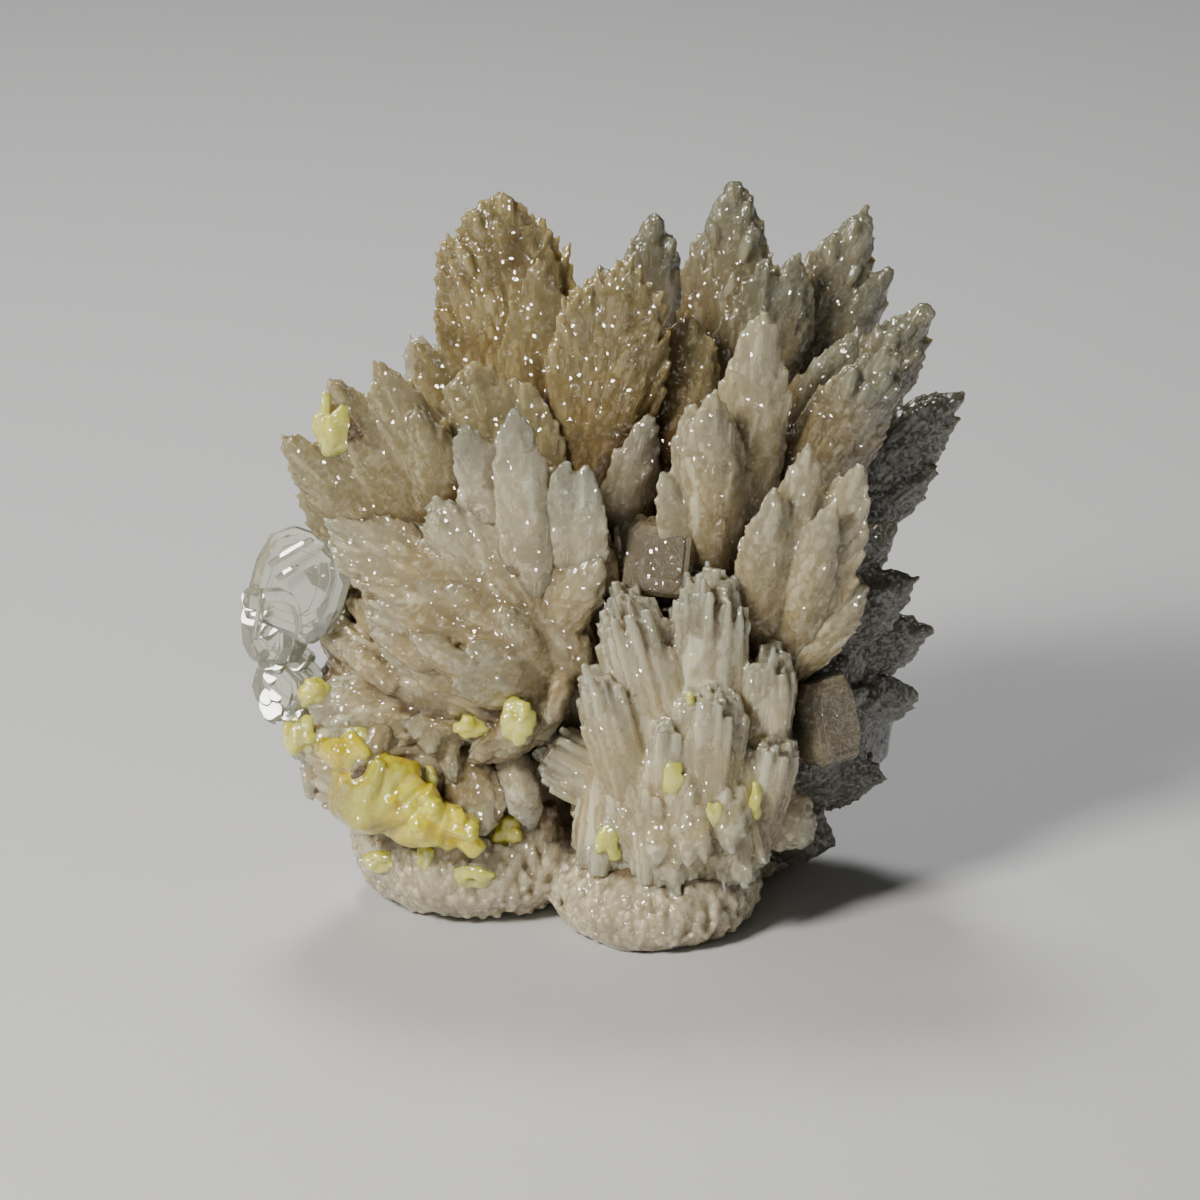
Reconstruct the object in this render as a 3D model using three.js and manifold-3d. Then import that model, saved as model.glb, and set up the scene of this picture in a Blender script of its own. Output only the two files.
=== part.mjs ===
// A barite specimen with native sulfur, standing on its flat broken foot.
// Leaf-like barite blades with saw-toothed edges fan out of a massive core.
// Yellow sulfur fills the lower left and dots the blades. Millimetres, +Z up, -Y is the display side.
import * as THREE from "three";
import { mergeVertices } from "three/addons/utils/BufferGeometryUtils.js";
import Module from "manifold-3d";

const wasm = await Module();
wasm.setup();

// Driving dimensions
const DISPLAY_TILT = 20; // degrees that the display view looks down
const GAP = 0.3; // clearance between neighbouring solids
const BLADE_THICKNESS = 0.46; // a blade's thickness as a share of its width
const TEETH_START = 0.36; // where a blade's first tooth is, as a share of its length
const TEETH_END = 0.94; // where its last tooth is
const TOOTH_LEAN = 0.8; // how far a tooth points up, as a share of the step between teeth
const NOTCH_DEPTH = 0.2; // how deep the notch between two teeth is, as a share of the half width

const tilt = THREE.MathUtils.degToRad(DISPLAY_TILT);
const viewer = new THREE.Vector3(0, -Math.cos(tilt), Math.sin(tilt));

// A point at x across, that shows at height h in the display view, and lies at depth y.
const seen = (x, h, y) => new THREE.Vector3(x, y, (h - y * Math.sin(tilt)) / Math.cos(tilt));
const at = (x, y, z) => new THREE.Vector3(x, y, z);

// The same value every time for one pair of numbers, from -0.5 to 0.5.
function jitter(seed, step) {
  const wave = Math.sin(seed * 12.9898 + step * 78.233) * 43758.5453;
  return wave - Math.floor(wave) - 0.5;
}

// Solids
function solidOf(geometry) {
  const bare = geometry.clone();
  bare.deleteAttribute("normal");
  bare.deleteAttribute("uv");
  const merged = mergeVertices(bare, 1e-4);
  return new wasm.Manifold(
    new wasm.Mesh({
      numProp: 3,
      vertProperties: new Float32Array(merged.attributes.position.array),
      triVerts: new Uint32Array(merged.index.array),
    }),
  );
}

function geometryOf(solid) {
  const mesh = solid.getMesh();
  const corners = new Float32Array(mesh.numVert * 3);
  for (let i = 0; i < mesh.numVert; i++) {
    corners.set(mesh.vertProperties.subarray(i * mesh.numProp, i * mesh.numProp + 3), i * 3);
  }
  const geometry = new THREE.BufferGeometry();
  geometry.setAttribute("position", new THREE.BufferAttribute(corners, 3));
  geometry.setIndex(new THREE.BufferAttribute(mesh.triVerts, 1));
  geometry.computeVertexNormals();
  return geometry;
}

const joined = (solids) => solids.reduce((whole, next) => whole.add(next));

// What is left of a solid in one body, without the crumbs that a cut leaves.
function largest(solid) {
  const bodies = solid.decompose();
  return bodies.reduce((best, next) => (next.volume() > best.volume() ? next : best));
}

// A closed skin over rings of points, drawn together to a point at each end.
function loft(rings, start, end) {
  const corners = rings[0].length;
  const points = [start, ...rings.flat(), end];
  const last = points.length - 1;
  const index = [];
  for (let c = 0; c < corners; c++) {
    const next = (c + 1) % corners;
    index.push(0, 1 + next, 1 + c);
    for (let r = 0; r + 1 < rings.length; r++) {
      const low = 1 + r * corners;
      const high = low + corners;
      index.push(low + c, low + next, high + next, low + c, high + next, high + c);
    }
    const top = 1 + (rings.length - 1) * corners;
    index.push(top + c, top + next, last);
  }
  const geometry = new THREE.BufferGeometry();
  geometry.setAttribute(
    "position",
    new THREE.Float32BufferAttribute(points.flatMap((p) => p.toArray()), 3),
  );
  geometry.setIndex(index);
  return solidOf(geometry);
}

// Outlines of a blade: its width at the root as a share of its widest, where it is widest, and how
// blunt its end is.
const LEAF = { stalk: 0.55, widest: 0.5, blunt: 2 };
const FAN = { stalk: 0.4, widest: 0.7, blunt: 3 };
const LATH = { stalk: 0.8, widest: 0.5, blunt: 3.4 };

function outlineAt({ stalk, widest, blunt }, along) {
  if (along < widest) return stalk + (1 - stalk) * Math.sin(((along / widest) * Math.PI) / 2);
  return 1 - ((along - widest) / (1 - widest)) ** blunt;
}

// A blade: a flattened leaf with a ridge down each face, and teeth that alternate along its edges.
// turn is how far it is turned about its own length, away from facing the viewer.
function blade({ root, tip, width, thick, turn = 0, teeth = 2, outline = LEAF, seed = 1 }, grow) {
  const run = tip.clone().sub(root);
  const axis = run.clone().normalize();
  const across = axis
    .clone()
    .cross(viewer)
    .normalize()
    .applyAxisAngle(axis, THREE.MathUtils.degToRad(turn));
  const face = axis.clone().cross(across);
  const halfThick = (thick ?? width * BLADE_THICKNESS) / 2;
  const place = (along, aside, out) =>
    root
      .clone()
      .addScaledVector(run, along)
      .addScaledVector(across, aside)
      .addScaledVector(face, out);
  const step = (TEETH_END - TEETH_START) / (teeth * 2);
  const edge = (i, hand) => {
    const isTooth = i % 2 === (hand > 0 ? 0 : 1);
    const along = TEETH_START + i * step + (isTooth ? step * TOOTH_LEAN : 0);
    const reach = isTooth ? 1 + 0.12 * jitter(seed, i) : 1 - NOTCH_DEPTH;
    const half = (outlineAt(outline, Math.min(along, TEETH_END)) * reach * width) / 2;
    return place(along, hand * (half + grow), 0);
  };
  const rings = Array.from({ length: teeth * 2 + 1 }, (_, i) => {
    const along = TEETH_START + i * step;
    const ridge = halfThick * outlineAt(outline, along) * (1 + 0.3 * jitter(seed + 3, i)) + grow;
    return [edge(i, 1), place(along, 0, ridge), edge(i, -1), place(along, 0, -ridge)];
  });
  return loft(
    rings,
    root.clone().addScaledVector(axis, -grow),
    tip.clone().addScaledVector(axis, grow * 2),
  );
}

// A tablet: a thick plate with bevelled rims. Its corners lie on an oval round its middle.
const TABLET_BEVEL = 0.22;

function tablet({ middle, facing, wide, high, thick, corners = 8, spin = 0 }, grow) {
  const normal = facing.clone().normalize();
  const across = new THREE.Vector3(0, 0, 1).cross(normal).normalize();
  const up = normal.clone().cross(across);
  const ring = (depth, inset) =>
    Array.from({ length: corners }, (_, c) => {
      const angle = ((c + spin) / corners) * Math.PI * 2;
      return middle
        .clone()
        .addScaledVector(normal, depth)
        .addScaledVector(across, Math.cos(angle) * ((wide / 2) * inset + grow))
        .addScaledVector(up, Math.sin(angle) * ((high / 2) * inset + grow));
    });
  const half = thick / 2 + grow;
  const rim = half * 0.45;
  return loft(
    [ring(-half, 1 - TABLET_BEVEL), ring(-rim, 1), ring(rim, 1), ring(half, 1 - TABLET_BEVEL)],
    middle.clone().addScaledVector(normal, -half),
    middle.clone().addScaledVector(normal, half),
  );
}

// A lump of massive mineral: a ball of flat facets with an uneven swell.
function lump({ middle, radii, rough = 0.14, seed = 1, detail = 1 }, grow) {
  const geometry = new THREE.IcosahedronGeometry(1, detail);
  const position = geometry.attributes.position;
  const point = new THREE.Vector3();
  for (let i = 0; i < position.count; i++) {
    point.fromBufferAttribute(position, i).normalize();
    const swell =
      Math.sin(point.x * 5.1 + seed) +
      Math.sin(point.y * 6.3 + seed * 2.1) +
      Math.sin(point.z * 5.7 + seed * 3.7);
    const size = 1 + (rough * swell) / 2;
    position.setXYZ(
      i,
      middle.x + point.x * (radii[0] * size + grow),
      middle.y + point.y * (radii[1] * size + grow),
      middle.z + point.z * (radii[2] * size + grow),
    );
  }
  return solidOf(geometry);
}

const makers = { blade, tablet, lump };

// The table that the specimen stands on: everything below z 0 is cut away.
const TABLE_SIZE = 400;
const tableUpTo = (height) =>
  solidOf(
    new THREE.BoxGeometry(TABLE_SIZE, TABLE_SIZE, TABLE_SIZE).translate(
      0,
      0,
      height - TABLE_SIZE / 2,
    ),
  );
const table = tableUpTo(0);
const clearOfTable = tableUpTo(GAP);

const colours = {
  massive: { color: 0xb9a489, roughness: 0.55 },
  barite: { color: 0xc2ad8f, roughness: 0.35 },
  pale: { color: 0xd3c9b2, roughness: 0.3 },
  amber: { color: 0xbf9c66, roughness: 0.35 },
  grey: { color: 0x9d9a86, roughness: 0.28 },
  clear: { color: 0xd9d8c8, roughness: 0.08 },
  sulfur: { color: 0xd6cf4a, roughness: 0.3 },
};

// Each piece is cut back by a gap from the pieces made before it.
const specimen = new THREE.Group();
const cutters = [];

function makePiece(name, colour, made) {
  const shape = (grow) =>
    joined(made.map(({ kind = "blade", ...spec }) => makers[kind](spec, grow)));
  let solid = shape(0).subtract(cutters.length ? clearOfTable : table);
  for (const cutter of cutters) solid = solid.subtract(cutter);
  cutters.push(shape(GAP));
  const material = new THREE.MeshStandardMaterial({ metalness: 0, ...colours[colour] });
  const mesh = new THREE.Mesh(geometryOf(largest(solid)), material);
  mesh.name = name;
  specimen.add(mesh);
}

// Massive barite: a deep core, and the granular base whose broken underside is the foot
makePiece("core_and_foot", "massive", [
  { kind: "lump", middle: at(1, 5, 34), radii: [18, 14, 24], seed: 2 },
  { kind: "lump", middle: at(7, -6.5, 4), radii: [13.5, 16.5, 8], rough: 0.08, seed: 5 },
  { kind: "lump", middle: at(-16, 0, 7), radii: [16, 14.5, 9.5], rough: 0.1, seed: 8 },
  { kind: "lump", middle: at(10, 9, 6), radii: [17, 12.5, 10], rough: 0.1, seed: 13 },
]);

// The mounds, where blades lie over each other like shingles
makePiece("left_mound", "barite", [
  { kind: "lump", middle: seen(-18.5, 34, -3), radii: [17, 13, 14], seed: 3 },
  { kind: "lump", middle: seen(-27, 20, -4), radii: [12, 12, 12], seed: 7 },
  { root: seen(-10, 33, -16), tip: seen(-35, 48.4, -9), width: 13, outline: LATH, turn: 10 },
  { root: seen(-0.5, 28.5, -13), tip: seen(-22, 50.6, -12), width: 13, outline: LATH, turn: -10 },
  { root: seen(-3.5, 21.5, -13), tip: seen(-30, 38.6, -15), width: 13, outline: LATH, turn: 6 },
  { root: seen(1.8, 39, -11), tip: seen(-15, 56, -9), width: 13, thick: 8, outline: LATH },
  { root: seen(-13, 31, -10), tip: seen(-14.5, 20, -18), width: 11, turn: 20 },
  { root: seen(-18, 31, -9), tip: seen(-23.5, 18.5, -17), width: 11, turn: -20 },
]);
makePiece("right_mound", "barite", [
  { kind: "lump", middle: seen(10.5, 14, -8), radii: [14, 13, 15], seed: 6 },
  { root: seen(13, 14, -13), tip: seen(14, 40.5, -15), width: 10.4, outline: FAN, turn: -12 },
  { root: seen(9.7, 14, -14), tip: seen(2.8, 38.6, -16), width: 9.6, outline: FAN, turn: 14 },
  { root: seen(4.4, 11, -17), tip: seen(-0.6, 28.8, -18), width: 7, outline: LATH },
  { root: seen(6, 12, -12), tip: seen(-7.4, 19, -13), width: 9, teeth: 2 },
  { root: seen(13, 10, -19), tip: seen(14.4, 26.6, -19), width: 10, outline: LATH },
  { root: seen(20, 13, -12), tip: seen(21.8, 31.4, -14), width: 7.6, outline: LATH },
  { root: seen(19.6, 6.5, -14), tip: seen(22.4, 21, -16), width: 7.6, outline: LATH },
  { root: seen(1.5, 17, -14), tip: seen(0, 1.5, -17), width: 8, outline: LATH },
  { root: seen(7, 17, -18), tip: seen(9, -1, -21), width: 9, outline: LATH },
  { root: seen(15, 14, -17), tip: seen(17.5, 0.5, -18), width: 9, outline: LATH },
  { root: seen(20, 13, -12), tip: seen(27.5, 6.5, -12), width: 8, teeth: 2 },
]);
makePiece("right_flank", "grey", [
  { kind: "lump", middle: at(20, 8, 25), radii: [18, 14, 19], seed: 11 },
  { root: seen(20, 34, 2), tip: seen(38.4, 48, 0), width: 9, turn: 25, seed: 65 },
  { root: seen(20, 30, 2), tip: seen(41, 41, -1), width: 10, turn: 15, seed: 66 },
  { root: seen(18, 27, 5), tip: seen(43.4, 34.6, 3), width: 12, turn: 30, seed: 67 },
  { root: seen(18, 22, 4), tip: seen(42, 25.6, 3), width: 12, turn: 40, seed: 68 },
  { root: seen(16, 17, 3), tip: seen(37.4, 14.6, 1), width: 12, turn: 30, seed: 69 },
  { root: seen(14, 12, 2), tip: seen(31, 6, -1), width: 11, turn: 20, seed: 70 },
  { root: at(18, 8, 28), tip: at(40, 20, 36), width: 13, turn: 50, seed: 81 },
]);
makePiece("back_mound", "barite", [
  { kind: "lump", middle: at(-5, 14, 22), radii: [20, 12, 17], seed: 12 },
  { root: at(-8, 8, 26), tip: at(-33, 24, 30), width: 15, turn: 50, seed: 73 },
  { root: at(-8, 8, 20), tip: at(-26, 29, 13), width: 14, turn: 40, seed: 74 },
  { root: at(-2, 10, 28), tip: at(-12, 35, 38), width: 15, turn: 10, seed: 77 },
  { root: at(0, 10, 20), tip: at(-3, 35, 20), width: 15, turn: 5, seed: 78 },
  { root: at(4, 10, 24), tip: at(18, 33, 28), width: 15, turn: -20, seed: 82 },
]);

// Tablets: a block in the cleft, a grey one on the right, and clear plates at the left edge
makePiece("cleft_tablet", "pale", [
  {
    kind: "tablet",
    middle: seen(7.4, 43.2, -9),
    facing: at(0.1, -1, 0.35),
    wide: 9,
    high: 9.6,
    thick: 4.6,
    spin: 0.45,
    corners: 6,
  },
  {
    kind: "tablet",
    middle: seen(3.9, 42, -7),
    facing: at(-0.4, -1, 0.3),
    wide: 6.6,
    high: 7.6,
    thick: 5,
    spin: 0.2,
    corners: 6,
  },
]);
makePiece("right_block", "grey", [
  {
    kind: "tablet",
    middle: seen(29, 22.6, -7.5),
    facing: at(0.5, -1, 0.25),
    wide: 7.6,
    high: 12,
    thick: 7,
    spin: 0.5,
    corners: 6,
  },
]);
makePiece("clear_plates", "clear", [
  {
    kind: "tablet",
    middle: seen(-38.4, 40, -8),
    facing: at(-0.45, -1, 0.35),
    wide: 13,
    high: 14,
    thick: 4,
    corners: 8,
  },
  {
    kind: "tablet",
    middle: seen(-41.6, 34.2, -6),
    facing: at(-0.9, -1, 0.2),
    wide: 10,
    high: 11,
    thick: 6,
    corners: 6,
  },
  {
    kind: "tablet",
    middle: seen(-39.6, 27.4, -5),
    facing: at(-0.8, -1, -0.1),
    wide: 10,
    high: 9,
    thick: 6,
    corners: 6,
  },
]);

// Standing blades, from the front row to the back row
makePiece("left_blade_with_sulfur_tip", "barite", [
  { root: seen(-15, 35, -4), tip: seen(-35, 66, -8), width: 17, teeth: 5, outline: FAN },
  { root: seen(-15, 36, -4), tip: seen(-28.8, 68.4, -8), width: 10, seed: 21 },
  { root: seen(-15, 34, -5), tip: seen(-39.4, 56, -9), width: 11, turn: -8, seed: 22 },
]);
makePiece("pale_blade_left", "pale", [
  { root: seen(-9, 40, -8), tip: seen(-17.9, 59.6, -13), width: 7, seed: 23 },
]);
makePiece("pale_blade_upright", "pale", [
  { root: seen(-8.6, 38, -12), tip: seen(-10.9, 62.2, -16), width: 7, outline: LATH },
]);
makePiece("pale_blade_right", "pale", [
  { root: seen(-4.4, 36, -9), tip: seen(-2.4, 56, -15), width: 8, turn: -14 },
]);
makePiece("lower_left_blade", "barite", [
  { root: seen(-18, 24, -12), tip: seen(-38, 24.8, -12), width: 10, thick: 5, turn: 10, seed: 27 },
]);
makePiece("hanging_blade", "barite", [
  { root: seen(-19, 19, -10), tip: seen(-14.4, 7.6, -15), width: 8, seed: 29 },
]);
makePiece("finger_crystal", "pale", [
  { root: seen(-11, 19, -11), tip: seen(-8.2, 8.4, -14), width: 4.2, thick: 4, teeth: 1 },
]);
makePiece("centre_spray", "pale", [
  { root: seen(14.8, 38, -2), tip: seen(21, 74.6, -8), width: 11.4, teeth: 5, seed: 31 },
  { root: seen(14.6, 38, -3), tip: seen(14, 67, -7), width: 8, turn: 15, seed: 33 },
  { root: seen(14.4, 38, -3), tip: seen(11, 62.6, -9), width: 7.6, turn: 25, seed: 34 },
  { root: seen(14, 38, -3), tip: seen(7.8, 54, -10), width: 7, turn: 30, seed: 35 },
]);
makePiece("lower_right_spray", "pale", [
  { root: seen(19.5, 27, -6), tip: seen(22.2, 52.2, -14), width: 7.6, turn: 20, seed: 36 },
  { root: seen(22, 27, -5), tip: seen(26.4, 57.8, -13), width: 8, teeth: 4, seed: 37 },
  { root: seen(23, 27, -4), tip: seen(33.4, 55.6, -13), width: 10, teeth: 4, turn: -20, seed: 38 },
]);
makePiece("low_lath_right", "barite", [
  { root: seen(22, 27, -6), tip: seen(34.2, 40, -10), width: 6, seed: 41 },
]);
makePiece("small_blade_centre", "pale", [
  { root: seen(0.5, 40, -2), tip: seen(6.4, 61.8, -5), width: 7, turn: 20, seed: 42 },
]);
makePiece("left_shoulder_blade", "barite", [
  { root: seen(-9, 42, -2), tip: seen(-16.6, 68.2, -4), width: 12, teeth: 3, outline: FAN, seed: 43 },
  { root: seen(-7, 42, -2), tip: seen(-9.6, 66, -4), width: 9, turn: -20, seed: 44 },
]);
makePiece("amber_blade", "amber", [
  { root: seen(-4, 44, -1), tip: seen(3.6, 81.2, -2), width: 15, teeth: 5, outline: FAN },
  { root: seen(-3, 44, -1), tip: seen(-1.6, 78, -3), width: 9, outline: FAN, turn: 20 },
]);
makePiece("upper_left_inner_blade", "barite", [
  { root: seen(-8.5, 46, 3), tip: seen(-7.7, 81.8, 5), width: 10, teeth: 4, seed: 48 },
  { root: seen(-7, 46, 3), tip: seen(-3.4, 77.4, 5), width: 7, turn: -30, seed: 49 },
]);
makePiece("upper_left_blade", "barite", [
  { root: seen(-9, 47, 8), tip: seen(-13.4, 90.4, 13), width: 18, teeth: 5, outline: FAN },
  { root: seen(-9, 47, 7), tip: seen(-24, 71.4, 9), width: 9, turn: 15, seed: 51 },
  { root: seen(-9, 47, 8), tip: seen(-20.4, 81, 12), width: 9, turn: 20, seed: 50 },
]);
makePiece("brown_blade", "amber", [
  { root: seen(9, 44, 2), tip: seen(11.6, 75, 2), width: 10, outline: LATH, seed: 1.5 },
  { root: seen(8, 44, 2), tip: seen(6.6, 72, 2), width: 7, outline: LATH },
]);
makePiece("back_top_blade", "grey", [
  { root: seen(6, 50, 9), tip: seen(6.8, 87.8, 18), width: 12, teeth: 4, turn: 20, seed: 53 },
  { root: seen(5, 50, 9), tip: seen(0, 81.4, 16), width: 9, turn: 10, seed: 54 },
]);
makePiece("summit_blade", "grey", [
  { root: seen(14, 48, 7), tip: seen(17.8, 92, 16), width: 13, teeth: 5, turn: -8, seed: 55 },
  { root: seen(14, 48, 6), tip: seen(21.6, 81.6, 9), width: 10, turn: 12, seed: 56 },
  { root: seen(15, 48, 6), tip: seen(26.4, 79, 9), width: 8, turn: 20, seed: 57 },
]);
makePiece("upper_right_blade", "grey", [
  { root: seen(16, 47, 10), tip: seen(34.8, 88.2, 18), width: 13, teeth: 5, turn: 20, seed: 58 },
  { root: seen(17, 46, 10), tip: seen(38, 81.4, 17), width: 8, turn: 35, seed: 59 },
]);
makePiece("right_inner_blade", "amber", [
  { root: seen(18, 44, 2), tip: seen(33, 72.6, 2), width: 9, turn: -15, seed: 60 },
]);
makePiece("right_striated_blade", "barite", [
  { root: seen(19, 42, -1), tip: seen(37.6, 70.2, -4), width: 11, outline: LATH, turn: 15 },
]);
makePiece("right_back_blade", "grey", [
  { root: seen(18, 44, 8), tip: seen(43, 76.2, 12), width: 11, teeth: 4, turn: 25, seed: 62 },
]);
makePiece("right_edge_blade", "grey", [
  { root: seen(19, 42, 5), tip: seen(47, 64.4, 6), width: 11, teeth: 4, turn: 20, seed: 63 },
  { root: seen(19, 40, 5), tip: seen(43.6, 55, 5), width: 9, turn: 30, seed: 64 },
]);

// Blades of the back, which the display side doesn't show
makePiece("back_left_blade", "barite", [
  { root: at(-5, 10, 34), tip: at(-25, 26, 68), width: 15, teeth: 4, turn: -20, seed: 71 },
  { root: at(-5, 10, 34), tip: at(-33, 22, 50), width: 14, turn: -30, seed: 72 },
]);
makePiece("back_middle_blade", "barite", [
  { root: at(0, 10, 36), tip: at(-8, 31, 74), width: 15, teeth: 4, turn: 5, seed: 75 },
]);
makePiece("back_middle_low_blade", "barite", [
  { root: at(1, 12, 36), tip: at(2, 34, 58), width: 15, turn: -8, seed: 76 },
]);
makePiece("back_right_blade", "barite", [
  { root: at(10, 10, 36), tip: at(22, 30, 72), width: 14, teeth: 4, turn: 20, seed: 79 },
  { root: at(10, 10, 36), tip: at(34, 26, 54), width: 14, turn: 30, seed: 80 },
]);

// Native sulfur: one glassy mass in the lower left, and crusts and drops that sit on the barite.
// seat is where the display view's line at x and h first meets what is already made.
function seat(x, h) {
  const eye = seen(x, h, 0).addScaledVector(viewer, TABLE_SIZE);
  const line = new THREE.Raycaster(eye, viewer.clone().negate());
  return line.intersectObjects(specimen.children)[0].point;
}

makePiece("sulfur_mass", "sulfur", [
  { kind: "lump", middle: seen(-28, 13, -14), radii: [7, 5, 6], seed: 4 },
  { kind: "lump", middle: seen(-22.5, 9.6, -13), radii: [6.6, 5, 3.8], seed: 9, detail: 0 },
]);

const drops = [
  { name: "sulfur_tip_crust", x: -33.6, h: 60.6, radii: [2.6, 2.2, 4.9] },
  { name: "sulfur_left_rim", x: -37.6, h: 20.2, radii: [3.2, 3.6, 3.4] },
  { name: "sulfur_left_drop", x: -36.6, h: 26, radii: [2.6, 2, 2.1] },
  { name: "sulfur_crescent", x: -16, h: 21.8, radii: [3, 1.6, 1.7] },
  { name: "sulfur_column", x: -10.6, h: 22.8, radii: [2.3, 2, 4.6] },
  { name: "sulfur_patch_left", x: -30.6, h: 20.4, radii: [2.9, 1.6, 1.6] },
  { name: "sulfur_drop_left", x: -21.9, h: 15, radii: [1.4, 1.4, 2.3] },
  { name: "sulfur_drop_middle", x: -12.2, h: 8, radii: [2.5, 2.2, 3] },
  { name: "sulfur_crust_low", x: -16.2, h: 2.4, radii: [3, 1.8, 1.8] },
  { name: "sulfur_drop_low", x: -22.4, h: 4.8, radii: [1.5, 1.6, 1.9] },
  { name: "sulfur_edge_low", x: -27.6, h: 4.4, radii: [3, 2.4, 1.8] },
  { name: "sulfur_drop_front", x: 1.2, h: 6.6, radii: [2.3, 1.8, 3] },
  { name: "sulfur_rim_front", x: 9.6, h: 15.6, radii: [2, 1.6, 3.2] },
  { name: "sulfur_drop_right", x: 14.4, h: 10.6, radii: [1.9, 1.6, 2.5] },
  { name: "sulfur_crust_right", x: 19.4, h: 11.8, radii: [1.9, 1.6, 3.2] },
  { name: "sulfur_dot_upper", x: 11.6, h: 25.4, radii: [1, 1.1, 1.2] },
];
drops.forEach(({ name, x, h, radii }, i) =>
  makePiece(name, "sulfur", [{ kind: "lump", middle: seat(x, h), radii, seed: i, detail: 0 }]),
);

export default specimen;
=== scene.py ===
# Barite with native sulfur: the looks of one specimen that stands on its broken foot.
# Each blade is a bundle of many thin crystals grown side by side, joined into one solid.
# Places are in millimetres in the CAD frame until a mesh is made: +Z up, -Y the display side.
import math

import bpy
import numpy as np
from mathutils import Matrix, Vector
from mathutils.bvhtree import BVHTree


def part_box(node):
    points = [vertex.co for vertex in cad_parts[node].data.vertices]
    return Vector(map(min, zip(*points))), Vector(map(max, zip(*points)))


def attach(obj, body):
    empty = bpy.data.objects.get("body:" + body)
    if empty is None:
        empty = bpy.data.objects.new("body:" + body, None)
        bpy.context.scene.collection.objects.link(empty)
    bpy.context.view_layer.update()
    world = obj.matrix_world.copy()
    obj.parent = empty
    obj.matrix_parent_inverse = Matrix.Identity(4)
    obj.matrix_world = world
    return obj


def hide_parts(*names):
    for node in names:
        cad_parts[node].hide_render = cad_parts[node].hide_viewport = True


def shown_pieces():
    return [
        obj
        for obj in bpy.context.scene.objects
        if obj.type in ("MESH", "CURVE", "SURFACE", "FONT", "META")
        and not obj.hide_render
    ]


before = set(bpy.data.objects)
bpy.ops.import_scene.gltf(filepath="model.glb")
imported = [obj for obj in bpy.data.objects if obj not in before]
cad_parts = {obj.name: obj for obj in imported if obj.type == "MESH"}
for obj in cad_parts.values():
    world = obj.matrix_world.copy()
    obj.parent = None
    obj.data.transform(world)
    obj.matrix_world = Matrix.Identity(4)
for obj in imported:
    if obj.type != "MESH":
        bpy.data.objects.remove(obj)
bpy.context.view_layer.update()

# Core and foot
# Massive granular barite, the mass that everything grows from. Its broken underside is flat, and
# fine crystals about a millimetre across stand upright all over the rest of it.
MM = 0.001
DISPLAY_TILT = math.radians(20)
VIEWER = np.array((0.0, -math.cos(DISPLAY_TILT), math.sin(DISPLAY_TILT)))
UP = np.array((0.0, 0.0, 1.0))


def seen(x, h, y):
    """The point at x across that shows at height h in the display view and lies at depth y."""
    z = (h - y * math.sin(DISPLAY_TILT)) / math.cos(DISPLAY_TILT)
    return np.array((x, y, z), float)


def unit(vectors):
    """Vectors scaled to length one, along the last axis."""
    return vectors / np.maximum(np.linalg.norm(vectors, axis=-1, keepdims=True), 1e-9)


# The habits that the crystals take, each one unit long, wide and thick. A ring is its height, its
# share of the width and of the thickness, and how far it leans aside.
FLAT_SECTION = ((0.5, 0.0), (0.27, 0.5), (-0.27, 0.5), (-0.5, 0.0), (-0.27, -0.5), (0.27, -0.5))
LENS_SECTION = ((0.5, 0.0), (0.36, 0.26), (0.15, 0.46), (-0.15, 0.46),
                (-0.5, 0.0), (-0.36, -0.26), (-0.15, -0.46), (0.15, -0.46), (0.36, -0.26))
SQUARE_SECTION = ((0.5, 0.22), (0.4, 0.42), (0.16, 0.5), (-0.24, 0.5), (-0.44, 0.36), (-0.5, 0.1),
                  (-0.5, -0.26), (-0.36, -0.46), (-0.1, -0.5), (0.3, -0.5), (0.46, -0.34), (0.5, -0.1))
SLAB_SECTION = ((0.5, 0.38), (0.4, 0.5), (-0.34, 0.5), (-0.5, 0.36),
                (-0.5, -0.4), (-0.38, -0.5), (0.36, -0.5), (0.5, -0.34))


def leaf_outline(stalk, widest, blunt):
    """A blade's half width along it: its share at the root, where it is widest, how blunt it ends."""

    def half_width(along):
        low = stalk + (1 - stalk) * np.sin(np.clip(along / widest, 0, 1) * math.pi / 2)
        high = 1 - np.clip((along - widest) / (1 - widest), 0, 1) ** blunt
        return np.where(along < widest, low, high)

    return half_width


def heart_rings(outline):
    """The rings of a blade's heart, which follows the blade's outline."""
    heights = (0.0, 0.15, 0.3, 0.45, 0.6, 0.72, 0.82, 0.9, 0.96, 1.0)
    return [(h, max(float(outline(h)), 0.05), max(float(outline(h)), 0.05), 0) for h in heights]


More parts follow.
